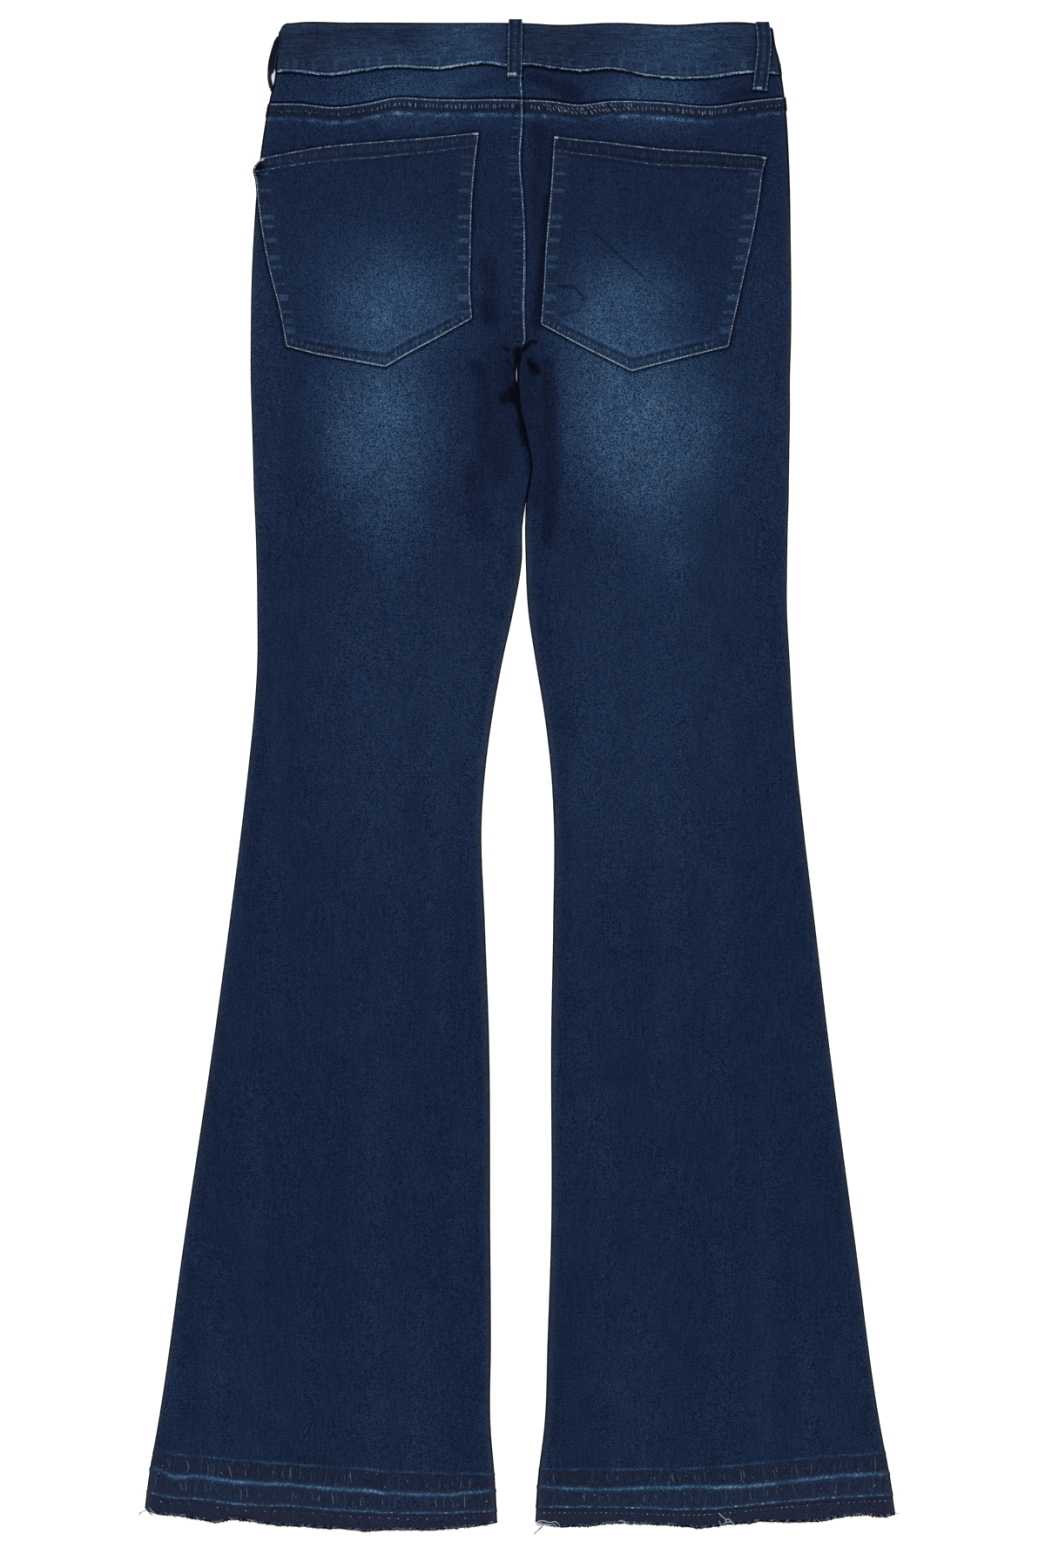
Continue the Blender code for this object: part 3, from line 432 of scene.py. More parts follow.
def meshObject(name, points, faceSets, material, looks=None):
    flat = [faces.reshape(-1) for faces in faceSets]
    sizes = np.concatenate([np.full(len(faces), faces.shape[1]) for faces in faceSets])
    mesh = bpy.data.meshes.new(name)
    mesh.vertices.add(len(points))
    metres = np.stack([points[:, 0], garment["length"] / 2 - points[:, 1], points[:, 2]], axis=1) * 0.001
    mesh.vertices.foreach_set("co", metres.astype(np.float32).reshape(-1))
    mesh.loops.add(int(sizes.sum()))
    mesh.loops.foreach_set("vertex_index", np.concatenate(flat).astype(np.int32))
    mesh.polygons.add(len(sizes))
    mesh.polygons.foreach_set("loop_start", (np.cumsum(sizes) - sizes).astype(np.int32))
    for attribute, values in (looks or {}).items():
        layer = mesh.attributes.new(attribute, "FLOAT", "POINT")
        layer.data.foreach_set("value", np.asarray(values, np.float32).reshape(-1))
    mesh.update(calc_edges=True)
    mesh.validate()
    mesh.shade_smooth()
    mesh.set_sharp_from_angle(angle=math.radians(48))
    mesh.materials.append(material)
    made = bpy.data.objects.new(name, mesh)
    bpy.context.scene.collection.objects.link(made)
    madeCount[name] = int((sizes - 2).sum())
    pieces[name] = made
    return made


def gridFaces(index):  # four-sided faces between neighbouring rows and columns
    corners = [index[:-1, :-1], index[1:, :-1], index[1:, 1:], index[:-1, 1:]]
    return np.stack(corners, axis=-1).reshape(-1, 4)


def wallObject(name, outer, inner, material, looks):  # a wall between two grids, closed round its rim
    rows, columns = outer.shape[:2]
    total = rows * columns
    points = np.concatenate([outer.reshape(-1, 3), inner.reshape(-1, 3)])
    index = np.arange(total).reshape(rows, columns)
    rim = np.concatenate([index[0], index[1:, -1], index[-1, -2::-1], index[-2:0:-1, 0]])
    after = np.roll(rim, -1)
    faces = np.concatenate([
        gridFaces(index),
        gridFaces(index + total)[:, ::-1],
        np.stack([rim, after, after + total, rim + total], axis=1),
    ])
    a, b, c, d = (points[faces[:, k]] * (1, -1, 1) for k in range(4))
    volume = np.einsum("ij,ij->i", a, np.cross(b, c)) + np.einsum("ij,ij->i", a, np.cross(c, d))
    if volume.sum() < 0:
        faces = faces[:, ::-1]
    inside = {key: 1.0 if key == "seamRun" else 0.2 for key in looks}  # wear and painted shade are fainter on the inside
    both = {key: np.outer((1.0, inside[key]), value) for key, value in looks.items()}
    trees[name] = BVHTree.FromPolygons(points.tolist(), faces.tolist())
    return meshObject(name, points, [faces], material, both)


def roll(depth, turn):  # round a folded edge: how far back from it, the drop and the tilt
    share = np.arange(garment["rollSteps"] + 1) / garment["rollSteps"]
    length = ((depth - seamGap) / 2 * math.pi / 2)[:, None]
    tilt = turn[:, None] * share
    radius = length / np.maximum(turn[:, None], 0.01)
    curled = turn[:, None] >= 0.01
    back = np.where(curled, radius * (np.sin(turn[:, None]) - np.sin(tilt)), length * (1 - share))
    return back, np.where(curled, radius * (1 - np.cos(tilt)), 0.0), np.where(curled, tilt, 0.0)


def edgeOfRows(edge, rows, downAt, depthPly):  # where each row meets a side edge, and its fold there
    edgeLine, fold = edge
    across = edgeLine(np.full(len(rows), 555.0))
    for _ in range(4):
        down = downAt(across, rows)
        across = edgeLine(down)
    if fold is None:
        return across, tuple(np.zeros((len(rows), 1)) for _ in range(3))
    return across, roll(hollow(across, down) + depthPly, fold(down))


# Folded side edges: a pale grey haze beside them, partly a worn fold and partly painted sheen on the roll;
# what is turned under gets painted shade and less fade, as it curves away from the light.
sideLook = {"haze": 0.36, "rimHaze": 0.60, "lessFade": 0.6, "shade": 1.4}


# A panel between its left and right edge, laid over or under the air between the layers. Looks are
# how far each place is faded, light at an edge, roped, shaded, raw or hazy; seamRun is the distance
# along a seam. face is 1 for the back layer and -1 for the front one.
def clothPiece(name, left, right, rows, downAt, columnsAt, thick, face, material, look,
               extra=None, raiseBy=None):
    rows = np.asarray(rows, float)
    start, (leftBack, leftDrop, leftTilt) = edgeOfRows(left, rows, downAt, thick)
    stop, (rightBack, rightDrop, rightTilt) = edgeOfRows(right, rows, downAt, thick)
    width = (stop - start)[:, None]
    flat = columnsAt(start, stop) - start[:, None]
    place = np.concatenate([leftBack[:, ::-1], flat, width - rightBack], axis=1)
    drop = np.concatenate([leftDrop[:, ::-1], np.zeros_like(flat), rightDrop], axis=1)
    tilt = np.concatenate([-leftTilt[:, ::-1], np.zeros_like(flat), rightTilt], axis=1)
    across = start[:, None] + place
    row = np.broadcast_to(rows[:, None], across.shape)
    down = downAt(across, row)
    spot = {"across": across, "down": down, "place": place, "toStop": width - place, "row": row}
    more = extra(spot) if extra else np.zeros_like(across)
    height = lift(across, down) + (raiseBy(spot) if raiseBy else 0.0)
    if face > 0:
        inside = np.minimum(ease(place, 1.0, 9.0), ease(width - place, 1.0, 9.0)) * (tilt == 0)
        height = height + hollow(across, down) + thick + inside * backRelief(across, down) - drop
    else:
        height = height + drop
    sine, cosine = np.sin(tilt), face * np.cos(tilt)
    outer = np.stack([across + sine * more, down, height + cosine * more], axis=-1)
    inner = np.stack([across - sine * thick, down, height - cosine * thick], axis=-1)
    # turned: how far the surface rolls under at a fold; it gets painted shade there
    turned = ease(np.abs(tilt), 0.08, 0.46)
    # a rim that isn't folded counts as far away, so it gets no haze
    unfolded = [60 * ease(tilts.max(axis=1), 1.2, 0.3)[:, None] for tilts in (leftTilt, rightTilt)]
    toEdge = np.minimum(place + unfolded[0], width - place + unfolded[1])
    haze = sideLook["haze"] * ease(toEdge, 9.0, 1.0) + sideLook["rimHaze"] * ease(toEdge, 3.0, 0.8)
    pressed = ease(np.abs(across), 34.0, 20.0) * ease(down, 384.0, 356.0)  # where the legs meet
    looks = {key: np.zeros_like(across) for key in ("edge", "rope", "raw")}
    looks.update(fade=fadeAt(across, down) * (1 - sideLook["lessFade"] * turned), seamRun=across + 0.0,
                 shade=sideLook["shade"] * turned, haze=haze * (face > 0) * (1 - pressed))
    look(spot, looks)
    return wallObject(name, outer, inner, material, looks)


def declare(piece, node=None):
    if node:
        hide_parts(node)
    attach(piece, "root")


def layFlat(piece, node):  # what every cloth piece declares
    declare(piece, node)


def named(kind, side):  # a piece's name
    return "denim" + kind + side.capitalize()


def bySide(side, outer, inner):  # the two in order from left to right, and back
    return (outer, inner) if side == "left" else (inner, outer)


def paint(looks, value, stripes):  # adds stripes of wear and painted shade along a seam or a fold
    for key, strength, *limits in stripes:
        looks[key] += strength * (stretch(value, *limits) if len(limits) == 4 else ease(value, *limits))


def folded(down):
    return np.full(np.shape(down), math.pi / 2)


def inseamFold(down):  # flat at the centre seam, folded over at the inseam below it
    return math.pi / 2 * ease(down, garment["crotchDown"] - 4, garment["crotchDown"] + 16)


def longEdges(side, innerFold):
    outer = (outline[side + "Outer"], folded)
    innerLine = outline[side + "Inner"]

    def gap(down):
        sliver = garment["crotchGap"] * stretch(down, 257.0, 260.5, 263.0, 267.5)
        pressed = garment["pressed"] * stretch(down, 264.0, 270.0, 356.0, 364.0)
        return garment["centreGap"] + sliver - pressed

    return bySide(side, outer, (lambda down: innerLine(down) + outward[side] * gap(down) / 2, innerFold))


def legDown(side, topLine, topLevel):  # rows follow the top seam, then the hem's creases
    levels = [crease[0] for crease in hemCreases] + [hemLevel]
    lines = creaseLines[side] + [hemLine[side]]

    def at(across, row):
        topWave = (topLine(across) - topLevel) * ease(row, topLevel + 190, topLevel)
        offsets = [follow(across) - level for follow, level in zip(lines, levels)]
        hemWave = offsets[0] * ease(row, 700, levels[0])
        for k in range(3):
            share = np.clip((row - levels[k]) / (levels[k + 1] - levels[k]), 0.0, 1.0)
            hemWave = hemWave + (offsets[k + 1] - offsets[k]) * share
        return row + topWave + hemWave

    return at


# Materials. Every pattern is worked out in millimetres from the piece's own place.


def makeGraph(name):
    made = bpy.data.materials.new(name)
    made.use_nodes = True
    nodes, links = made.node_tree.nodes, made.node_tree.links

    def add(kind, settings=None, inputs=None):
        node = nodes.new(kind)
        for key, value in (settings or {}).items():
            setattr(node, key, value)
        for key, value in (inputs or {}).items():
            if isinstance(value, bpy.types.NodeSocket):
                links.new(value, node.inputs[key])
            else:
                node.inputs[key].default_value = value
        return node

    def twoInputs(kind, operation):
        return lambda a, b: add(kind, {"operation": operation}, {0: a, 1: b}).outputs[0]

    sums = [twoInputs("ShaderNodeMath", name) for name in ("ADD", "SUBTRACT", "MULTIPLY", "MAXIMUM")]
    return made, add, sums, nodes["Principled BSDF"], links


def rampNode(add, factor, stops):
    ramp = add("ShaderNodeValToRGB", None, {"Fac": factor})
    elements = ramp.color_ramp.elements
    while len(elements) < len(stops):
        elements.new(0.5)
    for element, (position, colour) in zip(elements, stops):
        element.position = position
        element.color = (*colour, 1.0)
    return ramp.outputs["Color"]


denimColours = (   # from the painted shade of deep creases to thread worn nearly white
    (0.00, (0.0007, 0.0014, 0.0050)),
    (0.20, (0.0050, 0.0109, 0.0318)),
    (0.42, (0.0122, 0.0345, 0.0800)),
    (0.64, (0.0330, 0.0880, 0.1600)),
    (0.82, (0.0880, 0.1700, 0.2700)),
    (1.00, (0.2250, 0.2950, 0.3900)),
)
denimLooks = {  # the band's cloth runs across, so its streaks do too
    "denim": {
        "base": 0.197, "grain": 0.20, "fadeGain": 0.33, "fadeGrain": 0.60, "streak": 0.06, "lint": 0.034,
        "streakScale": (820, 66, 820)},
    "denim_worn": {
        "base": 0.199, "grain": 0.18, "fadeGain": 0.33, "fadeGrain": 0.60, "streak": 0.05, "lint": 0.032,
        "streakScale": (820, 66, 820)},
    "denim_band": {
        "base": 0.189, "grain": 0.19, "fadeGain": 0.33, "fadeGrain": 0.36, "streak": 0.18, "lint": 0.022,
        "streakScale": (90, 900, 900)},
    "denim_dark": {
        "base": 0.170, "grain": 0.20, "fadeGain": 0.20, "fadeGrain": 0.30, "streak": 0.08, "lint": 0.016,
        "streakScale": (820, 66, 820)},
}
weaveLook = {  # sizes of the pattern, for each metre or each millimetre
    "fleck": (1850, 1450, 1850), "lint": (1750, 1750, 1750), "blotch": 0.035, "twill": 0.449,
    "dash": 0.42, "dot": 0.62, "bump": 0.00022, "darkest": (0.0005, 0.001, 0.003),
}
rawHemColour, hazeColour = (0.0138, 0.0148, 0.0275), (0.0105, 0.0118, 0.0100)


def denim(name, look):
    made, add, (plus, minus, times, larger), shader, links = makeGraph(name)
    place = add("ShaderNodeTexCoord").outputs["Object"]

    def scaled(factors):
        return add("ShaderNodeMapping", None, {"Vector": place, "Scale": factors}).outputs[0]

    def noise(vector, scale, detail, roughness=0.5):
        inputs = {"Vector": vector, "Scale": scale, "Detail": detail, "Roughness": roughness}
        return add("ShaderNodeTexNoise", None, inputs).outputs["Fac"]

    # reads a look that the pieces carry; besides wear, these include painted shade
    def worn(attribute):
        return add("ShaderNodeAttribute", {"attribute_name": attribute}).outputs["Fac"]

    def ranged(value, low, high):
        inputs = {"Value": value, "From Min": low, "From Max": high}
        return add("ShaderNodeMapRange", None, inputs).outputs["Result"]

    def alongSeam(run, scale):
        inputs = {"W": run, "Scale": scale, "Detail": 1.0}
        return add("ShaderNodeTexNoise", {"noise_dimensions": "1D"}, inputs).outputs["Fac"]

    def vector2(operation, a, b, second=1):
        return add("ShaderNodeVectorMath", {"operation": operation}, {0: a, second: b}).outputs[0]

    inMillimetres = scaled((1000, 1000, 1000))
    fleck = ranged(noise(scaled(weaveLook["fleck"]), 1.0, 0.3), 0.28, 0.72)
    streak = ranged(noise(scaled(look["streakScale"]), 1.0, 2.0), 0.3, 0.7)
    blotch = noise(inMillimetres, weaveLook["blotch"], 3.0)
    twill = add("ShaderNodeTexWave", {"bands_direction": "DIAGONAL"}, {
        "Vector": inMillimetres, "Scale": weaveLook["twill"], "Distortion": 1.2, "Detail Scale": 0.5,
    }).outputs["Fac"]
    run = worn("seamRun")
    dash = ranged(plus(alongSeam(run, weaveLook["dash"]), times(fleck, 0.06)), 0.57, 0.67)
    dash = times(dash, plus(times(fleck, 0.9), 0.35))
    dot = ranged(alongSeam(run, weaveLook["dot"]), 0.34, 0.66)

    fade = worn("fade")
    fade = larger(plus(fade, times(minus(blotch, 0.5), 0.16)), 0.0)
    contrast = plus(times(fade, look["fadeGrain"]), look["grain"])
    # clear is how far a place lies outside the painted shade; the shade term below darkens the level with it
    clear = larger(minus(1.0, times(worn("shade"), 0.8)), 0.1)
    terms = (
        times(fade, look["fadeGain"]),
        times(minus(fleck, 0.5), times(contrast, clear)),
        times(minus(streak, 0.5), look["streak"]),
        times(minus(twill, 0.5), 0.035),
        times(worn("edge"), plus(times(dot, 0.52), 0.22)),
        times(worn("rope"), minus(times(dash, 0.34), 0.045)),
        times(worn("shade"), -0.22),
    )
    level = look["base"]
    for term in terms:
        level = plus(term, level)
    rawShare = times(times(worn("raw"), 0.95), clear)
    colour = add("ShaderNodeMix", {"data_type": "RGBA"}, {
        "Factor": times(rawShare, minus(1.0, times(level, 1.4))),
        6: rampNode(add, level, denimColours), 7: (*rawHemColour, 1.0)}).outputs[2]
    lint = minus(noise(scaled(weaveLook["lint"]), 1.0, 0.3), 0.5)
    lint = times(lint, times(plus(times(fade, 5.5), 1.0), look["lint"]))
    lint = times(lint, clear)
    colour = vector2("ADD", colour, add("ShaderNodeCombineXYZ", None, {0: lint, 1: lint, 2: lint}).outputs[0])
    haze = vector2("SCALE", hazeColour, times(worn("haze"), clear), "Scale")
    colour = vector2("MAXIMUM", vector2("ADD", colour, haze), weaveLook["darkest"])
    links.new(colour, shader.inputs["Base Color"])
    shader.inputs["Roughness"].default_value = 0.9
    shader.inputs["Specular IOR Level"].default_value = 0.03
    shader.inputs["Sheen Weight"].default_value = 0.015
    shader.inputs["Sheen Roughness"].default_value = 0.5
    shader.inputs["Sheen Tint"].default_value = (0.55, 0.68, 0.9, 1.0)
    weave = plus(times(twill, 0.6), plus(fleck, times(streak, 0.5)))
    bump = add("ShaderNodeBump", None, {"Height": weave, "Strength": 0.35, "Distance": weaveLook["bump"]})
    links.new(bump.outputs["Normal"], shader.inputs["Normal"])
    return made


def simpleFinish(name, stops, roughness, metallic=0.0, specular=0.3, scale=0.6):
    made, add, (plus, _, times, _), shader, links = makeGraph(name)
    place = add("ShaderNodeTexCoord").outputs["Object"]
    vector = add("ShaderNodeMapping", None, {"Vector": place, "Scale": (1000, 1000, 1000)}).outputs[0]
    grain = add("ShaderNodeTexNoise", None, {"Vector": vector, "Scale": scale, "Detail": 3.0}).outputs["Fac"]
    wear = add("ShaderNodeAttribute", {"attribute_name": "wear"}).outputs["Fac"]
    level = plus(times(grain, 0.35), wear)
    links.new(rampNode(add, level, stops), shader.inputs["Base Color"])
    uneven = add("ShaderNodeMapRange", None,
                 {"Value": grain, "To Min": roughness - 0.08, "To Max": roughness + 0.08}).outputs["Result"]
    links.new(uneven, shader.inputs["Roughness"])
    shader.inputs["Metallic"].default_value = metallic
    shader.inputs["Specular IOR Level"].default_value = specular
    bump = add("ShaderNodeBump", None, {"Height": grain, "Strength": 0.25, "Distance": 0.0001})
    links.new(bump.outputs["Normal"], shader.inputs["Normal"])
    return made


denimPlain, denimWorn, denimBand, denimDark = (denim(name, look) for name, look in denimLooks.items())
thread = simpleFinish("topstitch thread", (
    (0.15, (0.006, 0.013, 0.036)), (0.55, (0.045, 0.090, 0.155)), (0.93, (0.22, 0.285, 0.35)),
    (1.0, (0.46, 0.49, 0.50))), 0.8, specular=0.04)
frayThread = simpleFinish("loose thread", (
    (0.15, (0.003, 0.005, 0.010)), (0.95, (0.40, 0.48, 0.56))), 0.85, specular=0.04)
wornYarn = simpleFinish("worn yarn", (
    (0.15, (0.010, 0.030, 0.070)), (0.55, (0.045, 0.130, 0.230)), (0.95, (0.180, 0.330, 0.460))),
    0.85, specular=0.03)
tapeCloth = simpleFinish("zip tape", (
    (0.15, (0.006, 0.011, 0.026)), (0.95, (0.012, 0.022, 0.048))), 0.85, specular=0.1, scale=1.6)
brass = simpleFinish("zip brass", (
    (0.15, (0.30, 0.19, 0.08)), (0.95, (0.46, 0.31, 0.14))), 0.36, metallic=1.0)
copper = simpleFinish("copper-toned button", (
    (0.15, (0.30, 0.16, 0.10)), (0.95, (0.52, 0.30, 0.19))), 0.34, metallic=1.0)
print("materials made")

# Back legs: panels from the yoke seam to the released hem.

backLegLook = {
    "fellWidth": 12.4, "fellHeight": 0.9,      # centre seam, lapped onto the left panel
    "yokeLap": 10.4, "yokeLapHeight": 0.8,
    "creaseWidth": 1.9,
    "pucker": 0.2,
}
# Stripes of wear and painted shade: which look, its strength, then where it starts, is full, begins to fade
# and ends.
lapStripes = (  # below the yoke seam
    ("rope", 0.55, 2.9, 4.0, 6.8, 8.2),
    ("haze", 0.30, 10.6, 9.6),
    ("shade", 0.90, 0.75, 0.25),
    ("shade", 0.40, 1.7, 2.4, 8.2, 9.4),
    ("shade", 0.30, 6.8, 8.0, 9.6, 10.6),
)
rawStripes = (  # by row, as are the next
    ("raw", 0.45, 1060.0, 1066.0),
    ("raw", 0.55, 1091.0, 1093.5),
)
hemStripes = (
    ("edge", 0.06, 1084.0, 1092.0, 1092.5, 1094.0),
    ("edge", 0.30, hemLevel - 2.6, hemLevel - 1.4, hemLevel - 1.5, hemLevel - 0.9),
    ("haze", 0.16, 1061.0, 1064.0, 1091.0, 1094.0),
    ("shade", 0.22, 1062.0, 1065.0, 1072.0, foldRow),
    ("shade", 0.08, 1079.0, 1081.0, 1089.0, 1091.0),
    ("shade", 1.60, hemLevel - 1.9, hemLevel - 1.1),
)
yokePucker, fellPucker, hemPucker = wander(31, 3.4), wander(32, 4.2), wander(33, 5.0)
legStreaks = mottle(39, 15.0, 170.0)
hemBreaks, lapBreaks, yokeWear = mottle(36, 8.0, 7.0), mottle(38, 4.5, 2.6), wander(37, 9.0)
rawEdge, rawEdgeFine = wander(34, 11.0), wander(35, 2.6)


def ragged(across):  # the raw edge is a little uneven
    return 0.45 * rawEdge(across) + 0.28 * rawEdgeFine(across)


def backColumns(side):
    near = np.concatenate([steps(6.2, 11.2, 1.0), [11.9, 12.4, 12.9], steps(13.9, 31.0, 1.2)])
    shares, rim = np.linspace(0, 1, 84), np.array([7.6, 6.0, 4.6, 3.4])

    def at(start, stop):
        edge, seam = (ends[:, None] for ends in bySide(side, start, stop))
        sign = outward[side]
        body = mix(seam + sign * 32.0, edge - sign * 9.2, shares)
        return np.sort(np.concatenate([seam + sign * near, body, edge - sign * rim], axis=1), axis=1)

    return at


backRows = np.concatenate([
    [yokeLevel + seamGap / 2, 61.95, 62.35, 62.8, 63.4], steps(64.2, 75.2, 1.0), steps(77.6, 228.0, 2.7),
    steps(229.5, 320.0, 1.25), steps(322.5, 354.0, 2.5), steps(360.0, 1055.0, 6.4),
    steps(1057.0, 1062.0, 1.0), steps(1062.8, 1103.0, 0.85), [1103.8, 1104.4, hemLevel],
])


def fellShape(spot):  # the lap of the centre seam, on the left
    return ease(spot["toStop"], backLegLook["fellWidth"] + 0.5, backLegLook["fellWidth"] - 0.5)


def centreSeamWearAndShade(side, spot, looks, edge, rope, shade):
    down, fromSeam = spot["down"], spot["toStop"]
    # the right panel's edge gets painted shade beside the seam
    if side == "right":
        looks["shade"] += shade * ease(spot["place"], 1.8, 0.3) * ease(down, 248, 240)
        return
    fell = ease(down, 243, 238)
    looks["edge"] += edge * fell * line(fromSeam, 0.75, 0.95)
    looks["rope"] += rope * fell * stretch(fromSeam, 2.2, 3.6, 7.6, 9.6)
    looks["seamRun"] = np.where((fromSeam < 14.0) & (down < 248), down * 0.8, looks["seamRun"])


def makeBackLeg(side):
    look = backLegLook
    followed = legDown(side, yokeSeam, yokeLevel)

    def downAt(across, row):
        return followed(across, row) + ragged(across) * ease(row, 1094, hemLevel)

    def extra(spot):
        row, down = spot["row"], spot["down"]
        lap = ease(row, yokeLevel + look["yokeLap"] + 0.7, yokeLevel + look["yokeLap"] - 0.7)
        more = look["yokeLapHeight"] * lap
        more += look["pucker"] * lap * yokePucker(spot["across"] + 0.35 * (row - yokeLevel))
        if side == "left":
            fell = fellShape(spot) * ease(down, 242, 232)
            more = np.maximum(more, fell * (look["fellHeight"] + look["pucker"] * fellPucker(down)))
        for level, height, _, _ in hemCreases:
            more += height * np.maximum(0.0, 1 - np.abs(row - level) / look["creaseWidth"])
        wrinkled = stretch(row, 1061.0, 1066.0, 1090.0, 1094.0)
        more += 0.25 * wrinkled * hemPucker(spot["across"] - 0.25 * (row - 1077.0))
        return more + rounded(row - yokeLevel, 1.2, 0.7)

    # wear on the back leg, and painted shade under the yoke lap, in the hem's folds, at its raw edge, beside
    # the centre seam, round the crotch, in creases and round the pockets
    def wear(spot, looks):
        row, down, across = spot["row"], spot["down"], spot["across"]
        fromTop, shade, edge, fade = row - yokeLevel, looks["shade"], looks["edge"], looks["fade"]
        paint(looks, fromTop, lapStripes)
        paint(looks, row, hemStripes + rawStripes)
        edge += (0.62 + 0.25 * yokeWear(across)) * line(fromTop, 1.1, 1.05)
        lapLight = stretch(fromTop, 9.8, 11.2, 12.2, 14.2) * np.clip(
            0.6 + 0.9 * lapBreaks(across, fromTop), 0, 1.4)
        edge += 0.12 * lapLight
        fade *= 1 - 0.55 * ease(fromTop, 11.0, 9.0)
        fade += (0.42 + 0.4 * fade) * lapLight
        fade += ease(down, 380.0, 560.0) * (0.02 + 0.055 * legStreaks(across, down))

        slant = 0.16 + 0.8 * line(row, foldRow, 4.0)
        run = np.where(fromTop < 14.0, (across + 0.25 * fromTop) * 2.1, looks["seamRun"])
        looks["seamRun"] = np.where(row > hemTop, (across + slant * (row - foldRow)) * 1.25, run)
        jitter = 0.5 * hemPucker(across * 1.7) + 0.5 * hemPucker(across * 0.6)
        inward = ease(np.minimum(spot["place"], spot["toStop"]), 2.0, 9.0)
        patchy = 0.7 + 0.5 * hemBreaks(across, 0.4 * row)
        for level, _, light, _ in hemCreases:
            halfWidth = 1.9 if level == foldRow else 1.25
            edge += light * patchy * mix(0.5, 1.0, inward) * line(row + jitter, level, halfWidth)
        edge += (0.06 + 0.16 * patchy * inward) * line(row + 0.6 * jitter, 1078.0, 4.2)
        wrinkled = stretch(row, 1061.5, 1064.5, 1090.5, 1092.5) * (1 - line(row, foldRow, 3.0))
        looks["rope"] += 0.50 * wrinkled * ease(hemBreaks(across, row), -0.3, 0.7)
        # painted shadow under the step of the lowest crease
        shade += (0.45 if side == "right" else 0.25) * line(row, 1093.4, 1.5)

        centreSeamWearAndShade(side, spot, looks, 0.80, 0.55, 0.9)
        if side == "left":
            edge += 0.05 * ease(down, 243, 238) * line(spot["toStop"], 12.0, 1.4)
        shade += 0.30 * ease(np.hypot((across + 2.0) / 40.0, (down - 268.0) / 60.0), 1.0, 0.1)  # painted shade round the crotch
        np.maximum(shade, creaseShade(across, down, darkCreases), out=shade)
        np.maximum(shade, creaseShade(across, down, pocketShadow(side)), out=shade)

    return clothPiece(named("BackLeg", side), *longEdges(side, inseamFold), backRows, downAt,
                      backColumns(side), ply, 1, denimPlain, wear, extra=extra)


# Front panels: they lie on the surface, so all their relief is on the inside.


def frontStations(side, edge):
    inner = middle + outward[side] * np.concatenate([[12.0], steps(16.0, garment["pocketStart"], 4.6)])
    shares = np.concatenate([[0.02], steps(0.06, 0.94, 0.035)])
    return np.sort(np.concatenate([inner, mix(inner[-1], edge, shares)]))


frontLegLook = {
    "fade": 0.6, "fadeAcross": 95, "fadeDown": 320, "fadeWidth": 52, "fadeHeight": 150,
    "mouthLight": 0.8, "hemRope": 0.42,
}


def makeFrontLeg(side):
    look = frontLegLook
    straight = legDown(side, lambda across: 0.0 * across, 0.0)
    blendRow = 262.0
    topEdge = outline[side + "Outer"](scoopLine(garment["foldAcross"][side]))
    shares = (frontStations(side, topEdge) - middle) / (topEdge - middle)

    def columnsAt(start, stop):
        edge, centre = bySide(side, start, stop)
        return np.sort(mix(centre[:, None], edge[:, None], shares), axis=1)

    def downAt(across, row):
        top, blend = scoopLine(across) + seamGap, straight(across, blendRow)
        above = mix(top, blend, np.minimum(row / blendRow, 1.0))
        return np.where(row >= blendRow, straight(across, row), above)

    def wear(spot, looks):
        row, across, down = spot["row"], spot["across"], spot["down"]
        thigh = ((across - look["fadeAcross"] * outward[side]) / look["fadeWidth"]) ** 2
        thigh += ((down - look["fadeDown"]) / look["fadeHeight"]) ** 2
        looks["fade"] = look["fade"] * np.exp(-thigh) * (1 + 0.25 * fadePatches(across, down))
        mouth = np.abs(across - middle) > garment["pocketStart"] - 2
        looks["edge"] += look["mouthLight"] * ease(row, 2.4, 0.0) * mouth
        for level, _, light, _ in hemCreases:
            looks["edge"] += light * line(row, level, 2.4)
        looks["seamRun"] = np.where(row > hemTop, across * 0.62, looks["seamRun"])
        paint(looks, row, rawStripes + (("rope", look["hemRope"], 1061.5, 1064.5, 1089.5, 1092.5),))

    rows = np.concatenate([
        [0.0, 1.2, 2.6], steps(6.0, 120.0, 4.0), steps(126.0, 354.0, 5.0), steps(364.0, 1054.0, 10.0),
        steps(hemTop, 1100.0, 2.6), [hemLevel - garment["frontHemShort"]],
    ])
    return clothPiece(named("FrontLeg", side), *longEdges(side, inseamFold), rows, downAt,
                      columnsAt, ply, -1, denimPlain, wear)


def freeEdge(across):  # a straight cut edge along the piece
    return lambda down: np.full(np.shape(down), across), None


def makePocketFacing(side):
    sideEdge = outline[side + "Outer"]
    innerEnd = middle + outward[side] * (garment["pocketStart"] - 9.0)

    def behind(spot):  # it passes behind the front panel's mouth edge
        return (ply + seamGap) * ease(np.abs(sideEdge(spot["down"]) - spot["across"]), 3.5, 12.0)

    def downAt(across, row):
        passed = mix(-seamGap, 9.0, ease(np.abs(garment["foldAcross"][side] - across), 15.0, 30.0))
        return mix(frontBandSeam(across) + seamGap, scoopLine(across) + passed, row)

    def columnsAt(start, stop):
        edge = bySide(side, start, stop)[0]
        return np.sort(mix(innerEnd, edge[:, None], np.linspace(0.03, 0.95, 26)), axis=1)

    def wear(spot, looks):
        looks["fade"] *= 0.0

    return clothPiece(
        named("PocketFacing", side), *bySide(side, (sideEdge, folded), freeEdge(innerEnd)),
        np.linspace(0, 1, 22), downAt, columnsAt, ply, -1, denimDark, wear, raiseBy=behind)


# Yokes and waistband.

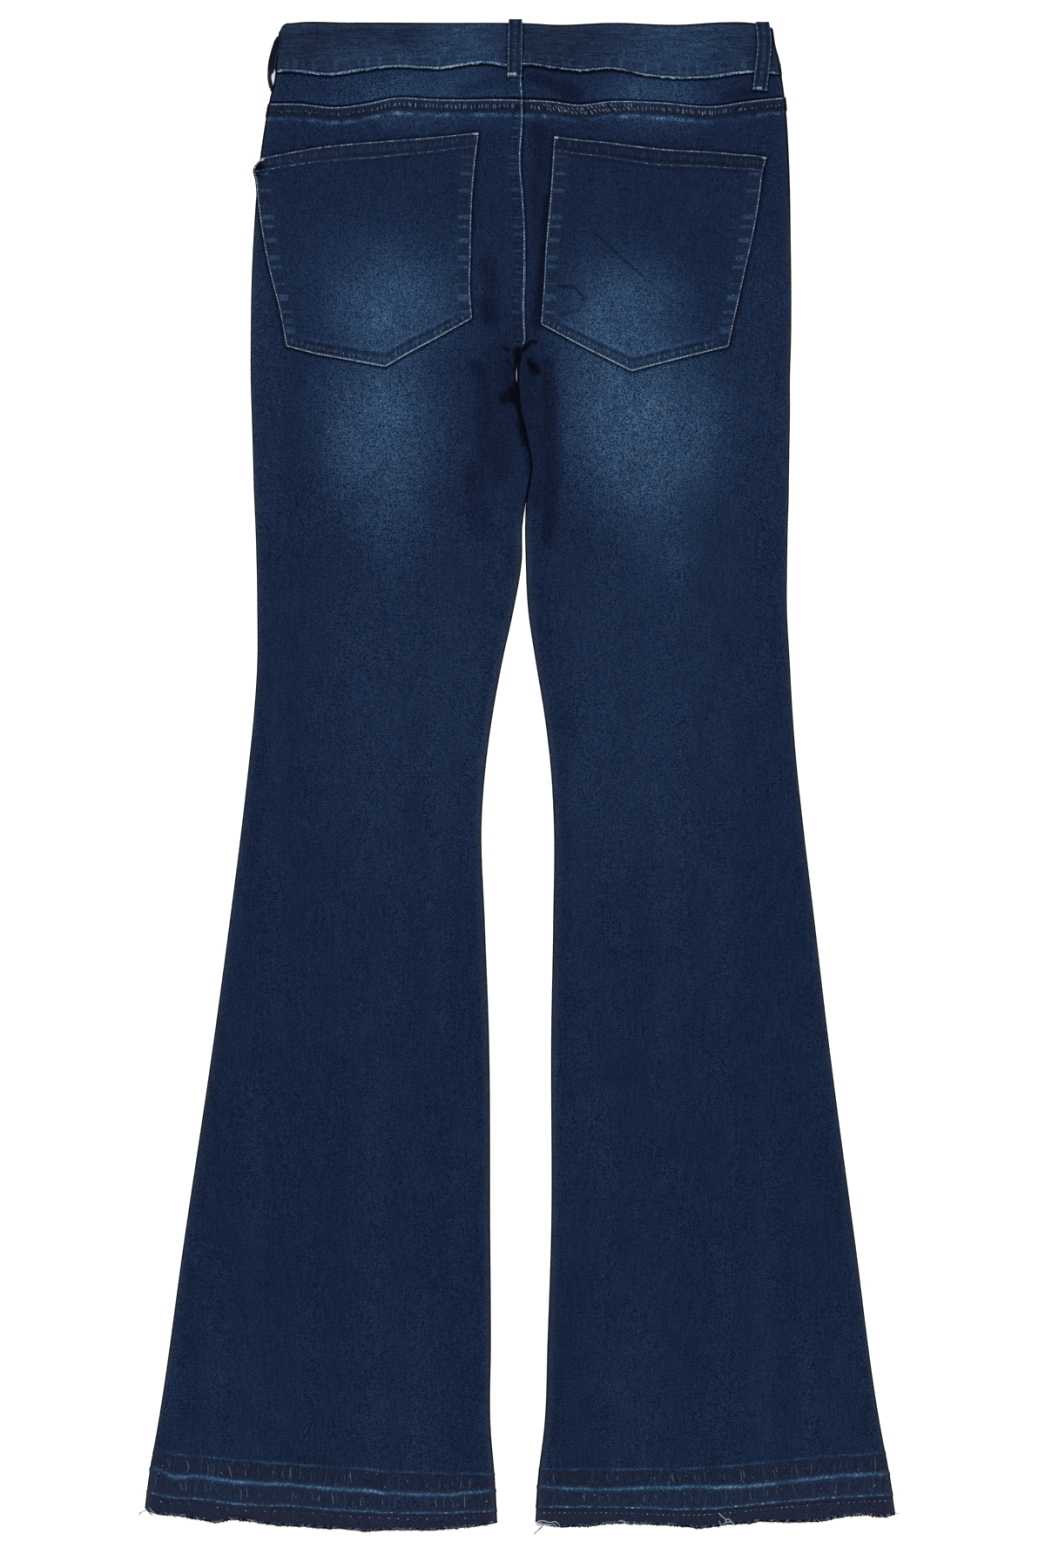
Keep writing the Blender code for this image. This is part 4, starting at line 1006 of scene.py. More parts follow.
bandLook = {
    "backHeight": 35.0, "frontHeight": 33.0,
    "ridgeUp": 9.0, "ridge": 0.32,              # the seam allowance inside
    "frontEnd": {"left": 18.0, "right": -13.0},  # the left half laps over the right
    "waves": 0.14, "puckers": 0.16, "haze": 0.30,
    "seamLight": {"back": 1.0, "front": 0.6},
}
yokeLook = {"waves": 0.12, "puckers": 0.15}
yokeStripes = (("shade", 1.5, 0.105, 0.03), ("shade", 1.3, 0.93, 0.985))  # by share of its height
bandWave, bandEdge, bandPucker = mottle(41, 24.0, 15.0), wander(42, 2.6), wander(43, 4.6)
seamWear, seamWearFine = wander(44, 26.0), wander(45, 4.2)


def bandJag(across):  # the band's lower edge is rough, and scalloped right of the middle
    scallop = np.abs(np.sin(math.pi * across / 5.6 + 1.3 * bandEdge(across * 0.3)))
    return 0.42 * bandEdge(across) - 0.75 * scallop * ease(across, 0.0, 14.0) * ease(across, 148.0, 128.0)


# The middles of the two back loops: down, across, and how far down they end.
centreLoopEnd, rightLoopEnd = 44.5, 53.6
rightLoopLine = smoothLine(((3.2, 177.8), (20.0, 179.2), (36.0, 177.8), (rightLoopEnd, 175.9)))


def centreLoopLine(down):
    return -3.2 - 0.6 * down / centreLoopEnd


def loopShade(across, down):  # the band is darker close beside the two back loops
    total = 0.0
    for follow, end in ((centreLoopLine, centreLoopEnd), (rightLoopLine, rightLoopEnd)):
        away = np.maximum(np.abs(across - follow(down)) - 5.1, 0.6 * (down - end))
        total = np.maximum(total, 0.85 * ease(away, 1.9, 0.5))
    return total


def makeYoke(side):
    def downAt(across, row):
        top = waistSeam(across) + bandJag(across) * ease(row, 0.12, 0.0)
        return mix(top, yokeSeam(across) - seamGap / 2, row)

    def extra(spot):
        more = yokeLook["waves"] * bandWave(spot["across"], spot["down"])
        if side == "left":
            puckered = backLegLook["fellHeight"] + yokeLook["puckers"] * fellPucker(spot["down"])
            more += fellShape(spot) * puckered
        return more

    # painted shade under the band and over the lap, in creases and beside the loops, with the centre seam's
    # wear and shade
    def wear(spot, looks):
        across, down, shade = spot["across"], spot["down"], looks["shade"]
        paint(looks, spot["row"], yokeStripes)
        np.maximum(shade, creaseShade(across, down, yokeDarkCreases), out=shade)
        np.maximum(shade, loopShade(across, down), out=shade)
        centreSeamWearAndShade(side, spot, looks, 0.75, 0.7, 0.8)

    rows = np.concatenate([[0.0, 0.02, 0.04, 0.07], steps(0.11, 0.89, 0.048), [0.93, 0.96, 0.98, 1.0]])
    return clothPiece(named("Yoke", side), *longEdges(side, lambda down: 0.0 * down), rows, downAt,
                      backColumns(side), ply, 1, denimWorn, wear, extra=extra)


bandRows = np.concatenate([
    [0.0, 0.012, 0.028, 0.05], steps(0.08, 0.92, 0.032), [0.945, 0.965, 0.98, 0.992, 1.0]])
bandFootStripes = (  # up from the band's seam
    ("edge", 0.16, 2.3, 3.8, 3.8, 5.3),
    ("edge", 0.12, 7.6, 9.0, 9.0, 10.4),
    ("shade", 0.35, 1.4, 2.4, 2.4, 3.4),
    ("rope", 0.42, 2.2, 3.2, 8.4, 9.6),
)
bandTopStripes = (  # down from its top edge
    ("edge", 0.12, 2.0, 3.4, 3.4, 4.8),
    ("shade", 0.95, 1.9, 0.6),
    ("haze", 0.30, 6.0, 3.0),
)


def bandExtra(spot, height):  # the seam allowance inside raises the lower part; the top edge is folded
    up, fromTop = spot["row"] * height, (1 - spot["row"]) * height
    inner = ease(up, bandLook["ridgeUp"] + 0.8, bandLook["ridgeUp"] - 0.8)
    more = bandLook["ridge"] * inner + bandLook["puckers"] * inner * bandPucker(spot["across"])
    more = more + bandLook["waves"] * bandWave(spot["across"], spot["down"])
    return more + rounded(fromTop, 1.8, 0.8) + rounded(up, 0.9, 0.45)


# worn light lines along the band, and painted shade in a line near its foot and along its top edge
def bandWearAndShade(spot, looks, height, light):
    up, fromTop = spot["row"] * height, (1 - spot["row"]) * height
    uneven = 0.90 + 0.25 * seamWear(spot["across"]) + 0.55 * seamWearFine(spot["across"])
    looks["edge"] += light * uneven * ease(up, 1.8, 1.0)
    looks["haze"] += bandLook["haze"]
    paint(looks, up, bandFootStripes)
    paint(looks, fromTop, bandTopStripes)
    looks["seamRun"] = np.where((up > 1.6) & (up < 10.0), looks["seamRun"] * 0.5, looks["seamRun"])


def makeBackBand():
    height = bandLook["backHeight"]

    def downAt(across, row):
        return mix(waistSeam(across) - 0.04, waistTop(across), row) + bandJag(across) * ease(row, 0.05, 0.0)

    def columnsAt(start, stop):
        return start[:, None] + (stop - start)[:, None] * steps(0.012, 0.988, 0.0042)

    def wear(spot, looks):
        bandWearAndShade(spot, looks, height, bandLook["seamLight"]["back"])
        looks["shade"] += loopShade(spot["across"], spot["down"])

    return clothPiece(
        "denimBandBack", (outline["leftOuter"], folded), (outline["rightOuter"], folded), bandRows,
        downAt, columnsAt, bandPly, 1, denimBand, wear, extra=lambda spot: bandExtra(spot, height),
    )


def makeFrontBand(side):
    end, height, light = bandLook["frontEnd"][side], bandLook["frontHeight"], bandLook["seamLight"]["front"]

    def downAt(across, row):
        return mix(frontBandSeam(across) - seamGap / 2, frontBandTop(across), row)

    def lapped(spot):
        lapEnd = bandLook["frontEnd"]["left"]
        return (side == "right") * (bandPly + seamGap) * ease(spot["across"], lapEnd + 16, lapEnd + 1)

    def columnsAt(start, stop):
        edge = bySide(side, start, stop)[0]
        places = np.concatenate([[0.004, 0.012], steps(0.03, 0.965, 0.014)])
        return np.sort(mix(end, edge[:, None], places), axis=1)

    return clothPiece(
        named("BandFront", side), *bySide(side, (outline[side + "Outer"], folded), freeEdge(end)), bandRows,
        downAt, columnsAt, bandPly, -1, denimBand, lambda spot, looks: bandWearAndShade(spot, looks, height, light),
        extra=lambda spot: bandExtra(spot, height), raiseBy=lapped,
    )


# Back pockets: their underside follows the leg, moved out.

pocketShapes = {  # top and bottom: across, down; side edges: down, across
    "left": {
        "top": ((-189.4, 103.2), (-167.9, 98.8), (-147.0, 95.0), (-133.2, 93.3), (-91.5, 89.8),
                (-65.0, 87.8), (-47.2, 86.0), (-29.2, 84.2)),
        "leftEdge": ((103.2, -189.4), (111.6, -195.6), (119.0, -194.2), (133.8, -192.9), (160.2, -189.3),
                     (190.0, -183.2), (211.5, -177.5), (241.4, -171.8)),
        "rightEdge": ((84.2, -29.2), (106.0, -32.0), (135.2, -34.4), (172.7, -35.4), (200.4, -35.9),
                      (220.6, -34.4)),
        "bottom": ((-171.8, 241.4), (-150.0, 247.2), (-124.0, 252.0), (-98.5, 256.8), (-82.0, 247.0),
                   (-60.0, 235.2), (-34.4, 220.6)),
        "point": -98.5,
    },
    "right": {
        "top": ((24.5, 87.0), (42.0, 89.2), (59.9, 90.7), (79.0, 93.1), (101.5, 95.8), (143.2, 98.4),
                (160.0, 100.0), (175.0, 101.1), (181.9, 102.6)),
        "leftEdge": ((87.0, 24.5), (133.8, 21.5), (165.7, 18.6), (200.4, 16.7), (225.0, 14.8)),
        "rightEdge": ((102.6, 181.9), (111.0, 179.3), (130.0, 176.8), (156.0, 172.5), (193.5, 164.2),
                      (241.5, 153.5)),
        "bottom": ((14.8, 225.0), (41.0, 239.2), (52.0, 245.0), (82.0, 260.0), (95.0, 256.3),
                   (117.0, 250.7), (153.5, 241.5)),
        "point": 82.0,
    },
}
pocketLook = {
    "depth": 155.0, "ply": 1.1, "air": 0.5, "pucker": 0.16,
    "turning": 11.0, "turningHeight": 0.5,      # edges turned in at the sides and the foot
    "mouth": 11.5, "mouthHeight": 0.9,
    "mouthDark": {"left": 0.06, "right": 0.26}, "belowMouth": {"left": 0.16, "right": 0.30},
    "shadow": 0.52, "shadowWidth": 1.2,         # on the leg round the pocket
}
pocketPuckers, mouthPuckers, pocketWear = wander(51, 4.4), wander(52, 3.6), wander(53, 14.0)


def pocketPlace(side, share, row):  # (across, down) of a point of the pocket
    shape = pocketShapes[side]
    top, bottom = smoothLine(shape["top"]), straightLine(shape["bottom"])
    leftEdge, rightEdge = smoothLine(shape["leftEdge"]), smoothLine(shape["rightEdge"])
    topLeft, topRight = shape["top"][0][0], shape["top"][-1][0]
    lowLeft, lowRight = shape["bottom"][0][0], shape["bottom"][-1][0]
    down = mix(top(mix(topLeft, topRight, share)), bottom(mix(lowLeft, lowRight, share)), row)
    across = mix(
        leftEdge(mix(top(topLeft), bottom(lowLeft), row)),
        rightEdge(mix(top(topRight), bottom(lowRight), row)), share,
    )
    return across, down


def pocketShadow(side):  # the leg is darker close round its pocket
    shape, width = pocketShapes[side], pocketLook["shadowWidth"]
    edges = [[(across, down) for down, across in shape[key]] for key in ("leftEdge", "rightEdge")]
    return [
        (start, stop, width, width, pocketLook["shadow"])
        for points in [shape["top"], shape["bottom"]] + edges for start, stop in zip(points, points[1:])
    ]


def pocketWidth(side):
    return pocketShapes[side]["top"][-1][0] - pocketShapes[side]["top"][0][0]


def makeBackPocket(side):
    look, width, depth = pocketLook, pocketWidth(side), pocketLook["depth"]
    rim = np.array([0.0, 0.35, 0.7, 1.15, 1.6, 2.3, 3.4, 4.8])
    shares, rows = (
        np.concatenate([rim, steps(6.1, size - 6.1, 1.3), size - rim[::-1]]) / size for size in (width, depth)
    )
    share, row = np.meshgrid(shares, rows)
    across, down = pocketPlace(side, share, row)
    fold = outline["leftOuter"](down) + 3.2
    under = backHeight(np.maximum(across, fold), down) + look["air"]
    fromSides = np.minimum(share * width, (1 - share) * width)
    fromBottom, fromTop = (1 - row) * depth, row * depth
    edge = np.minimum(fromSides, fromBottom)
    rims = np.minimum(edge, fromTop)
    turned = ease(edge, look["turning"] + 0.7, look["turning"] - 0.7)
    hemmed = ease(fromTop, look["mouth"] + 0.6, look["mouth"] - 0.6)
    folds = np.maximum(turned - hemmed, 0)  # the turned edges below the mouth's hem
    run = np.where(fromBottom < fromSides, across, down)
    puckers = folds * pocketPuckers(run) + hemmed * mouthPuckers(across + 0.3 * fromTop)
    thick = look["ply"] + np.maximum(look["turningHeight"] * turned, look["mouthHeight"] * hemmed)
    thick += look["pucker"] * puckers
    thick += creaseHeight(across, down, pocketCreases) + 0.1 * smallWaves(across + 60, down)
    thick = np.maximum(thick, 0.8) + rounded(rims, 1.3, 0.7)
    outer, inner = (np.stack([across, down, under + more], axis=-1) for more in (thick, 0.0))

    low = ease(fromBottom - fromSides, 2.5, -2.5) * ease(fromBottom - fromTop, 2.5, -2.5)
    bright = mix(np.where(fromTop < fromSides, 0.66, 0.60), 0.95, low)
    bright = bright * (0.9 + 0.25 * pocketWear(across + down))
    corner = ease(np.hypot(across + 194.0, down - 111.0), 9.0, 4.5)  # turned under past the left fold: painted shade, and no light edge
    insideSides = ease(fromSides, 9.0, 22.0)
    looks = {
        "fade": fadeAt(across, down) * (1 - 0.65 * hemmed) * (1 - 0.35 * turned),
        "edge": bright * line(rims, 1.15, 0.9) * (1 - 0.8 * corner)
                + 0.30 * line(fromTop, look["mouth"] + 0.3, 1.0)
                + 0.06 * line(fromSides, look["turning"] + 0.3, 1.4) * (1 - low)
                + 0.20 * line(fromBottom, look["turning"] + 0.5, 2.0) * insideSides,
        "rope": 0.75 * folds * stretch(edge, 2.0, 3.2, 10.0, 11.4) * (1 - 0.5 * low)
                + 0.34 * hemmed * stretch(fromTop, 2.6, 3.8, 7.6, 8.8),
        # painted shade at the rim, the turned-under corner, beside the mouth's rows and below it, just inside
        # the foot and along its turning, and in creases
        "shade": 1.3 * ease(rims, 0.75, 0.3) + 0.9 * corner
                 + look["mouthDark"][side] * hemmed * ease(fromTop, 1.6, 2.6)
                 + 0.34 * hemmed * (line(fromTop, 2.9, 1.5) + line(fromTop, 9.2, 1.8))
                 + look["belowMouth"][side] * line(fromTop, 13.6, 1.8)
                 + 0.45 * low * stretch(rims, 2.2, 3.0, 4.0, 5.0)
                 + 0.62 * insideSides * line(fromBottom, 8.4, 1.9)
                 + creaseShade(across, down, pocketDarkCreases),
        "haze": 0.28 * hemmed + 0.22 * folds,
        "seamRun": np.where((hemmed > 0.5) | (fromBottom < fromSides), across * 0.9, down * 0.40),
    }
    return wallObject(named("BackPocket", side), outer, inner, denimWorn, looks)


for side in sides:
    makeFrontLeg(side)
    makePocketFacing(side)
    makeFrontBand(side)
print("front panels, facings and band made")
for side in sides:
    makeBackLeg(side)
    makeYoke(side)
    makeBackPocket(side)
makeBackBand()
print("back panels, yokes, pockets and band made")

cuts = (  # piece, node, slot, flat size and area in metres, and what it rests on
    ("BackLeg", "back_leg_", "denim", (0.262, 1.047), 0.225, "FrontLeg"),
    ("FrontLeg", "front_leg_", "denim", (0.262, 1.025), 0.215, None),
    ("Yoke", "yoke_", "denim_worn", (0.198, 0.031), 0.0052, "FrontLeg"),
    ("BackPocket", "back_pocket_", "denim_worn", (0.162, 0.172), 0.0238, "BackLeg"),
    ("PocketFacing", "pocket_facing_", "denim_dark", (0.104, 0.076), 0.0054, "FrontLeg"),
    ("BandFront", "waistband_front_", "denim_worn", (0.212, 0.038), 0.0067, None),
)
for side in sides:
    for kind, node, slot, flat, area, under in cuts:
        layFlat(pieces[named(kind, side)], node + side)
layFlat(pieces["denimBandBack"], "waistband_back")


# Belt loops.

loopLook = {
    "width": 10.2, "sideWidth": 8.4, "ply": 1.6, "arch": 0.7, "stations": 26,
    "leanTop": 50.0, "leanBottom": 76.0,
    # the side loop's outer edge: down, across
    "sideEdge": ((15.0, -179.6), (18.6, -181.0), (22.4, -182.3), (26.2, -183.6), (30.7, -184.8),
                 (35.8, -185.5), (40.3, -185.8), (44.8, -185.5), (48.0, -184.9), (52.5, -183.4)),
    "front": {"left": -74.0, "right": 78.0},
}
# Across the strip: places from edge to edge, and its height over them.
strapShares = np.array([-1, -0.93, -0.82, -0.66, -0.45, -0.22, 0, 0.22, 0.45, 0.66, 0.82, 0.93, 1])
strapCrown = np.array([-0.55, -0.18, 0.0, 0.02, -0.06, -0.1, -0.11, -0.1, -0.06, 0.02, 0.0, -0.18, -0.55])


def surfaceHeight(carriers, across, down, fromAbove=True):  # None where nothing lies there
    start = Vector((across, down, 60.0 if fromAbove else -60.0))
    way = Vector((0, 0, -1 if fromAbove else 1))
    found = [hit[0].z for name in carriers if (hit := trees[name].ray_cast(start, way))[0]]
    if not found:
        return None
    return max(found) if fromAbove else min(found)


# A belt loop's strip along a path of (across, down, height, lean).
def makeStrap(name, path, halfWidth, pale=1.0, taper=0.0):
    points = [Vector((a, -d, z)) for a, d, z, _ in path]
    outer, inner = [], []
    for k, point in enumerate(points):
        along = (points[min(k + 1, len(points) - 1)] - points[max(k - 1, 0)]).normalized()
        lean = path[k][3]
        level = Vector((math.cos(lean), 0, math.sin(lean)))
        sideways = (level - along * level.dot(along)).normalized()
        out = along.cross(sideways)
        half = halfWidth * (1 - taper * float(ease(min(k, len(points) - 1 - k), 3.2, 0.0)))
        inner.append([point + sideways * half * s for s in strapShares])
        outer.append([spot + out * (loopLook["ply"] + c) for spot, c in zip(inner[-1], strapCrown)])
    outer, inner = (np.array([[(p.x, -p.y, p.z) for p in row] for row in grid]) for grid in (outer, inner))
    shape = outer.shape[:2]
    rim = np.broadcast_to(np.abs(strapShares), shape)
    count = np.arange(shape[0])
    ends = np.minimum(count, count[::-1])[:, None] * np.ones(shape)
    patchy = 0.5 + 0.5 * wander(61, 6.0)(outer[..., 1])
    looks = {
        "fade": pale * (0.02 + 0.20 * patchy * ease(rim, 0.5, 0.1)),
        "edge": pale * (0.95 * ease(rim, 0.80, 0.93) + 0.6 * ease(ends, 1.2, 0.0)),
        "rope": pale * 0.5 * ease(rim, 0.4, 0.2),
        # painted shade in a line inside each edge; with pale below 1, painted shade over the strip and a
        # paler grey rim where light catches it
        "shade": 0.6 * stretch(rim, 0.30, 0.55, 0.76, 0.86)
                 + (1 - pale) * (0.45 + 0.6 * ease(rim, 1.0, 0.85)),
        "haze": 0.30 + 0.5 * (1 - pale) * ease(rim, 0.85, 1.0),
        "seamRun": outer[..., 1] * 0.9,
    }
    return wallObject(name, outer, inner, denimWorn, looks)


def makeLoopOverBand(name, centre, top, bottom, carriers, face):
    half = loopLook["width"] / 2

    def base(down):
        spots = [centre(down) + shift for shift in (-half, -2.5, 0.0, 2.5, half)]
        heights = [surfaceHeight(carriers, a, down + s, face > 0) for a in spots for s in (-1.6, 0.0, 1.6)]
        heights = [h for h in heights if h is not None]
        return (max(heights) if face > 0 else min(heights)) + face * seamGap

    edge = base(top + 6.0)
    lean = 0.0 if face > 0 else math.pi
    path = [(float(centre(top)), top + loopLook["ply"], edge - face * drop, lean) for drop in (1.6, 0.8, 0.1)]
    for down in np.linspace(top + 5.0, bottom, loopLook["stations"]):
        arch = loopLook["arch"] * math.sin(math.pi * (down - top) / (bottom - top))
        path.append((float(centre(down)), float(down), base(float(down)) + face * max(arch, 0.0), lean))
    return makeStrap(name, path, half)


def makeSideLoop():  # it stands off the left fold, nearly edge-on from above
    look = loopLook
    outerEdge = smoothLine(look["sideEdge"])
    half, path = look["sideWidth"] / 2, []
    for share in np.linspace(0, 1, look["stations"]):
        down = mix(look["sideEdge"][0][0], look["sideEdge"][-1][0], share)
        lean = math.radians(mix(look["leanTop"], look["leanBottom"], float(ease(share, 0.56, 0.78))))
        fold = float(outline["leftOuter"](down))
        radius = (float(hollow(fold, down)) + (bandPly if down < waistSeam(fold) else ply)) / 2
        across = float(outerEdge(down)) + half * math.cos(lean) + look["ply"] * math.sin(lean)
        aside = math.sin(lean) * (across - fold - radius)
        rise = (radius + seamGap + aside) / math.cos(lean)  # just clear of the fold
        path.append((across, down, float(lift(fold, down)) + radius + min(max(rise, 0.0), 3.4), lean))
    # its face turns away from the light, so a low pale gives it painted shade and little wear
    return makeStrap("denimLoopSideLeft", path, half, pale=0.1, taper=0.4)


backCarriers = ["denimBandBack", "denimYokeLeft", "denimYokeRight"]
frontCarriers = ["denimBandFrontLeft", "denimBandFrontRight", "denimFrontLegLeft", "denimFrontLegRight"]
loopLines = {"belt_loop_centre_back": centreLoopLine, "belt_loop_side_right": rightLoopLine}
centrePath = straightLine(((1.2, -3.2), (centreLoopEnd, -3.8)))
loops = {
    "belt_loop_centre_back": makeLoopOverBand(
        "denimLoopCentreBack", centrePath, 1.2, centreLoopEnd, backCarriers, 1),
    "belt_loop_side_right": makeLoopOverBand(
        "denimLoopSideRight", rightLoopLine, 3.2, rightLoopEnd, backCarriers, 1),
    "belt_loop_side_left": makeSideLoop(),
}
for side, across in loopLook["front"].items():
    node, top = "belt_loop_front_" + side, float(frontBandTop(across)) - 3.6
    loopLines[node] = straightLine(((top, across), (top + 46, across)))
    loops[node] = makeLoopOverBand(
        named("LoopFront", side), loopLines[node], top, top + 43.5, frontCarriers, -1)
for node, loop in loops.items():
    layFlat(loop, node)
print("belt loops made")


# Stitching: each stitch is a short length of thread, laid on the finished cloth.

stitchLook = {
    "pitch": 2.3, "length": 1.85, "radius": 0.22, "sidesOfThread": 5,
    "worn": 0.74, "tonal": 0.03,          # how light: the row at the edge, and the one beside it
    "bandTop": 0.10, "bandFoot": 0.12, "front": 0.35,
    "mouthRow": 0.34, "hemRow": 0.40, "hemHoles": 0.62, "loopRow": 0.06,
    "loopTack": {"belt_loop_centre_back": 0.62}, "otherTack": 0.35,
}
worn, tonal = stitchLook["worn"], stitchLook["tonal"]
stitchRandom = np.random.default_rng(71)


class StitchBook:  # threads on one side of the garment, kept until they become one piece
    def __init__(self, face):
        self.face, self.count = face, 0
        self.points, self.quads, self.caps, self.wear = [], [], [], []

    def addThread(self, centres, radii, wear, sidesOfThread):
        rings = len(centres)
        along = np.gradient(centres, axis=0)
        along /= np.maximum(np.linalg.norm(along, axis=1, keepdims=True), 1e-6)
        sideways = np.cross(along, (0.0, 0.0, 1.0))
        sideways /= np.maximum(np.linalg.norm(sideways, axis=1, keepdims=True), 1e-6)
        upward = np.cross(sideways, along)
        angles = (np.arange(sidesOfThread) * 2 * math.pi / sidesOfThread)[None, :, None]
        ring = sideways[:, None] * np.cos(angles) + upward[:, None] * np.sin(angles)
        made = centres[:, None] + ring * np.asarray(radii)[:, None, None]
        index = np.arange(rings * sidesOfThread).reshape(rings, sidesOfThread) + self.count
        wrapped = np.concatenate([index, index[:, :1]], axis=1)
        self.points.append(made.reshape(-1, 3))
        self.quads.append(gridFaces(wrapped))
        self.caps.append(np.stack([index[0], index[-1][::-1]]))
        self.wear.append(np.full(rings * sidesOfThread, wear))
        self.count += rings * sidesOfThread

    def finish(self, name, material):
        points, quads, caps, wear = map(np.concatenate, (self.points, self.quads, self.caps, self.wear))
        return meshObject(name, points, [quads, caps], material, {"wear": wear})


backStitches, frontStitches, hatchBook = StitchBook(1), StitchBook(-1), StitchBook(1)


def alongPath(path):  # how far each point lies along it
    return np.concatenate([[0.0], np.cumsum(np.hypot(*np.diff(path, axis=0).T))])


def sew(book, path, carrier, light, pitch=stitchLook["pitch"], length=stitchLook["length"],
        radius=stitchLook["radius"], uneven=0.12):
    run = alongPath(path)  # path: dense (across, down) points
    for start in np.arange(0.3, run[-1] - length, pitch):
        places = start + length * np.array([0.0, 0.25, 0.75, 1.0])
        spots = [(np.interp(s, run, path[:, 0]), np.interp(s, run, path[:, 1])) for s in places]
        heights = [surfaceHeight([carrier], a, d, book.face > 0) for a, d in spots]
        if None in heights or np.ptp(heights) > 0.9:
            continue
        lay = radius * np.array([-0.7, 0.35, 0.35, -0.7])
        centres = np.array([(a, d, h + book.face * up) for (a, d), h, up in zip(spots, heights, lay)])
        wear = float(np.clip(light + stitchRandom.normal(0, uneven), 0.0, 1.0))
        book.addThread(centres, radius * np.array([0.5, 1.0, 1.0, 0.5]), wear, stitchLook["sidesOfThread"])


def seamPath(seam, start, stop, offset):
    across = steps(start, stop, 1.5)
    return np.stack([across, seam(across) + offset], axis=1)


def pocketPath(side, share, row):
    return np.stack(pocketPlace(side, share, row), axis=1)


# Ticks: short worn yarns, and pale threads painted as highlights where puckers catch the light.
tickLook = {
    "radius": 0.20, "specks": 70, "speckRadius": 0.17,
    "lapPitch": 2.7, "pocketPitch": 4.4, "mouthPitch": 4.0, "hemPitch": 7.4, "hatchPitch": 1.2,
}
tickRandom = np.random.default_rng(72)


def addTick(book, carrier, across, down, lean, length, light, radius=tickLook["radius"], bend=0.0):
    along = np.array([-0.5, -0.2, 0.2, 0.5])
    aside = bend * (0.25 - along**2) * length
    spots = [
        (across + length * t * math.sin(lean) + b, down + length * t * math.cos(lean))
        for t, b in zip(along, aside)
    ]
    heights = [surfaceHeight([carrier], a, d) for a, d in spots]
    if None in heights:
        return
    centres = np.array([(a, d, h + 0.3 * radius) for (a, d), h in zip(spots, heights)])
    light = float(np.clip(light, 0.0, 1.0))
    book.addThread(centres, radius * np.array([0.4, 1.0, 1.0, 0.4]), light, stitchLook["sidesOfThread"])


def tickPlaces(start, stop, pitch, uneven=0.35):
    places = np.arange(start, stop, pitch)
    return places + pitch * uneven * tickRandom.uniform(-1, 1, len(places))


def between(low, high):
    return float(tickRandom.uniform(low, high))


def pocketSpot(side, share, row):
    return (float(value) for value in pocketPlace(side, share, row))


for side in sides:
    leg, pocket = named("BackLeg", side), named("BackPocket", side)
    folds, width = creaseLines[side], pocketWidth(side)
    start, stop = (-182.0, -2.0) if side == "left" else (9.0, 192.0)
    for across in tickPlaces(start, stop, tickLook["lapPitch"]):
        seam = float(yokeSeam(across))
        dense = float(stretch(across, -128.0, -92.0, 150.0, 176.0))
        if between(0, 1) > mix(0.62, 0.94, dense):
            continue
        slant = float(stretch(across, 8.0, 20.0, 76.0, 96.0))
        lean = 0.62 * slant + between(-0.12, 0.12)
        down = seam + mix(between(5.4, 7.0), between(5.0, 6.2), dense) + 1.2 * slant
        length = mix(between(0.9, 1.8), between(2.2, 3.6), dense)
        addTick(backStitches, leg, across, down, lean, length, between(0.30, 0.70) + 0.12 * dense)
        if slant > 0.5:
            down = seam + between(3.4, 4.2)
            addTick(backStitches, leg, across - 2.6, down, lean, between(1.6, 2.6), between(0.4, 0.8))
    for place in tickPlaces(6.0, width - 7.0, tickLook["pocketPitch"]):  # the pocket's foot
        across, down = pocketSpot(side, place / width, 1.0)
        tilt = 0.5 if across < pocketShapes[side]["point"] else -0.5
        addTick(backStitches, pocket, across, down - between(4.2, 5.8), -tilt * between(0.1, 1.1),
                between(2.2, 4.2), between(0.10, 0.46), radius=between(0.24, 0.42))
    for place in tickPlaces(3.0, width - 3.0, tickLook["mouthPitch"], 0.6):
        across, down = pocketSpot(side, place / width, 0.0)
        if between(0, 1) < 0.75:
            addTick(backStitches, pocket, across, down + between(3.6, 8.4), between(-0.5, 0.5),
                    between(0.8, 2.6), between(0.06, 0.42))
    low, high = hemPoints[side][0][0] + 9, hemPoints[side][-1][0] - 6
    for upper, lower in zip(folds, folds[1:]):  # pale ticks painted as highlights on slanted puckers between the old hem's creases
        for across in tickPlaces(low, high, tickLook["hemPitch"], 0.7):
            if between(0, 1) > 0.8:
                continue
            top, bottom = float(upper(across)), float(lower(across))
            addTick(backStitches, leg, across, mix(top, bottom, between(0.42, 0.56)), between(-0.12, 0.3),
                    (bottom - top) * between(0.25, 0.70), between(0.12, 0.62), radius=between(0.11, 0.17),
                    bend=between(-0.3, 0.6))
    for k in range(tickLook["specks"]):
        across = between(low, high)
        down = mix(float(folds[0](across)), float(folds[2](across)), between(0.05, 0.95))
        addTick(backStitches, leg, across, down, between(0.0, 3.0), between(0.4, 0.8), between(0.4, 0.95),
                radius=tickLook["speckRadius"])
    for across in tickPlaces(low, high, tickLook["hatchPitch"], 0.6):  # worn yarns across the fold line
        down = float(folds[1](across))
        light = between(0.0, 0.8) * (0.65 + 0.35 * float(yokeWear(across * 1.3)))
        addTick(hatchBook, leg, across, down + between(-0.6, 1.0), between(0.3, 1.2), between(1.2, 3.2),
                light, radius=between(0.13, 0.21))

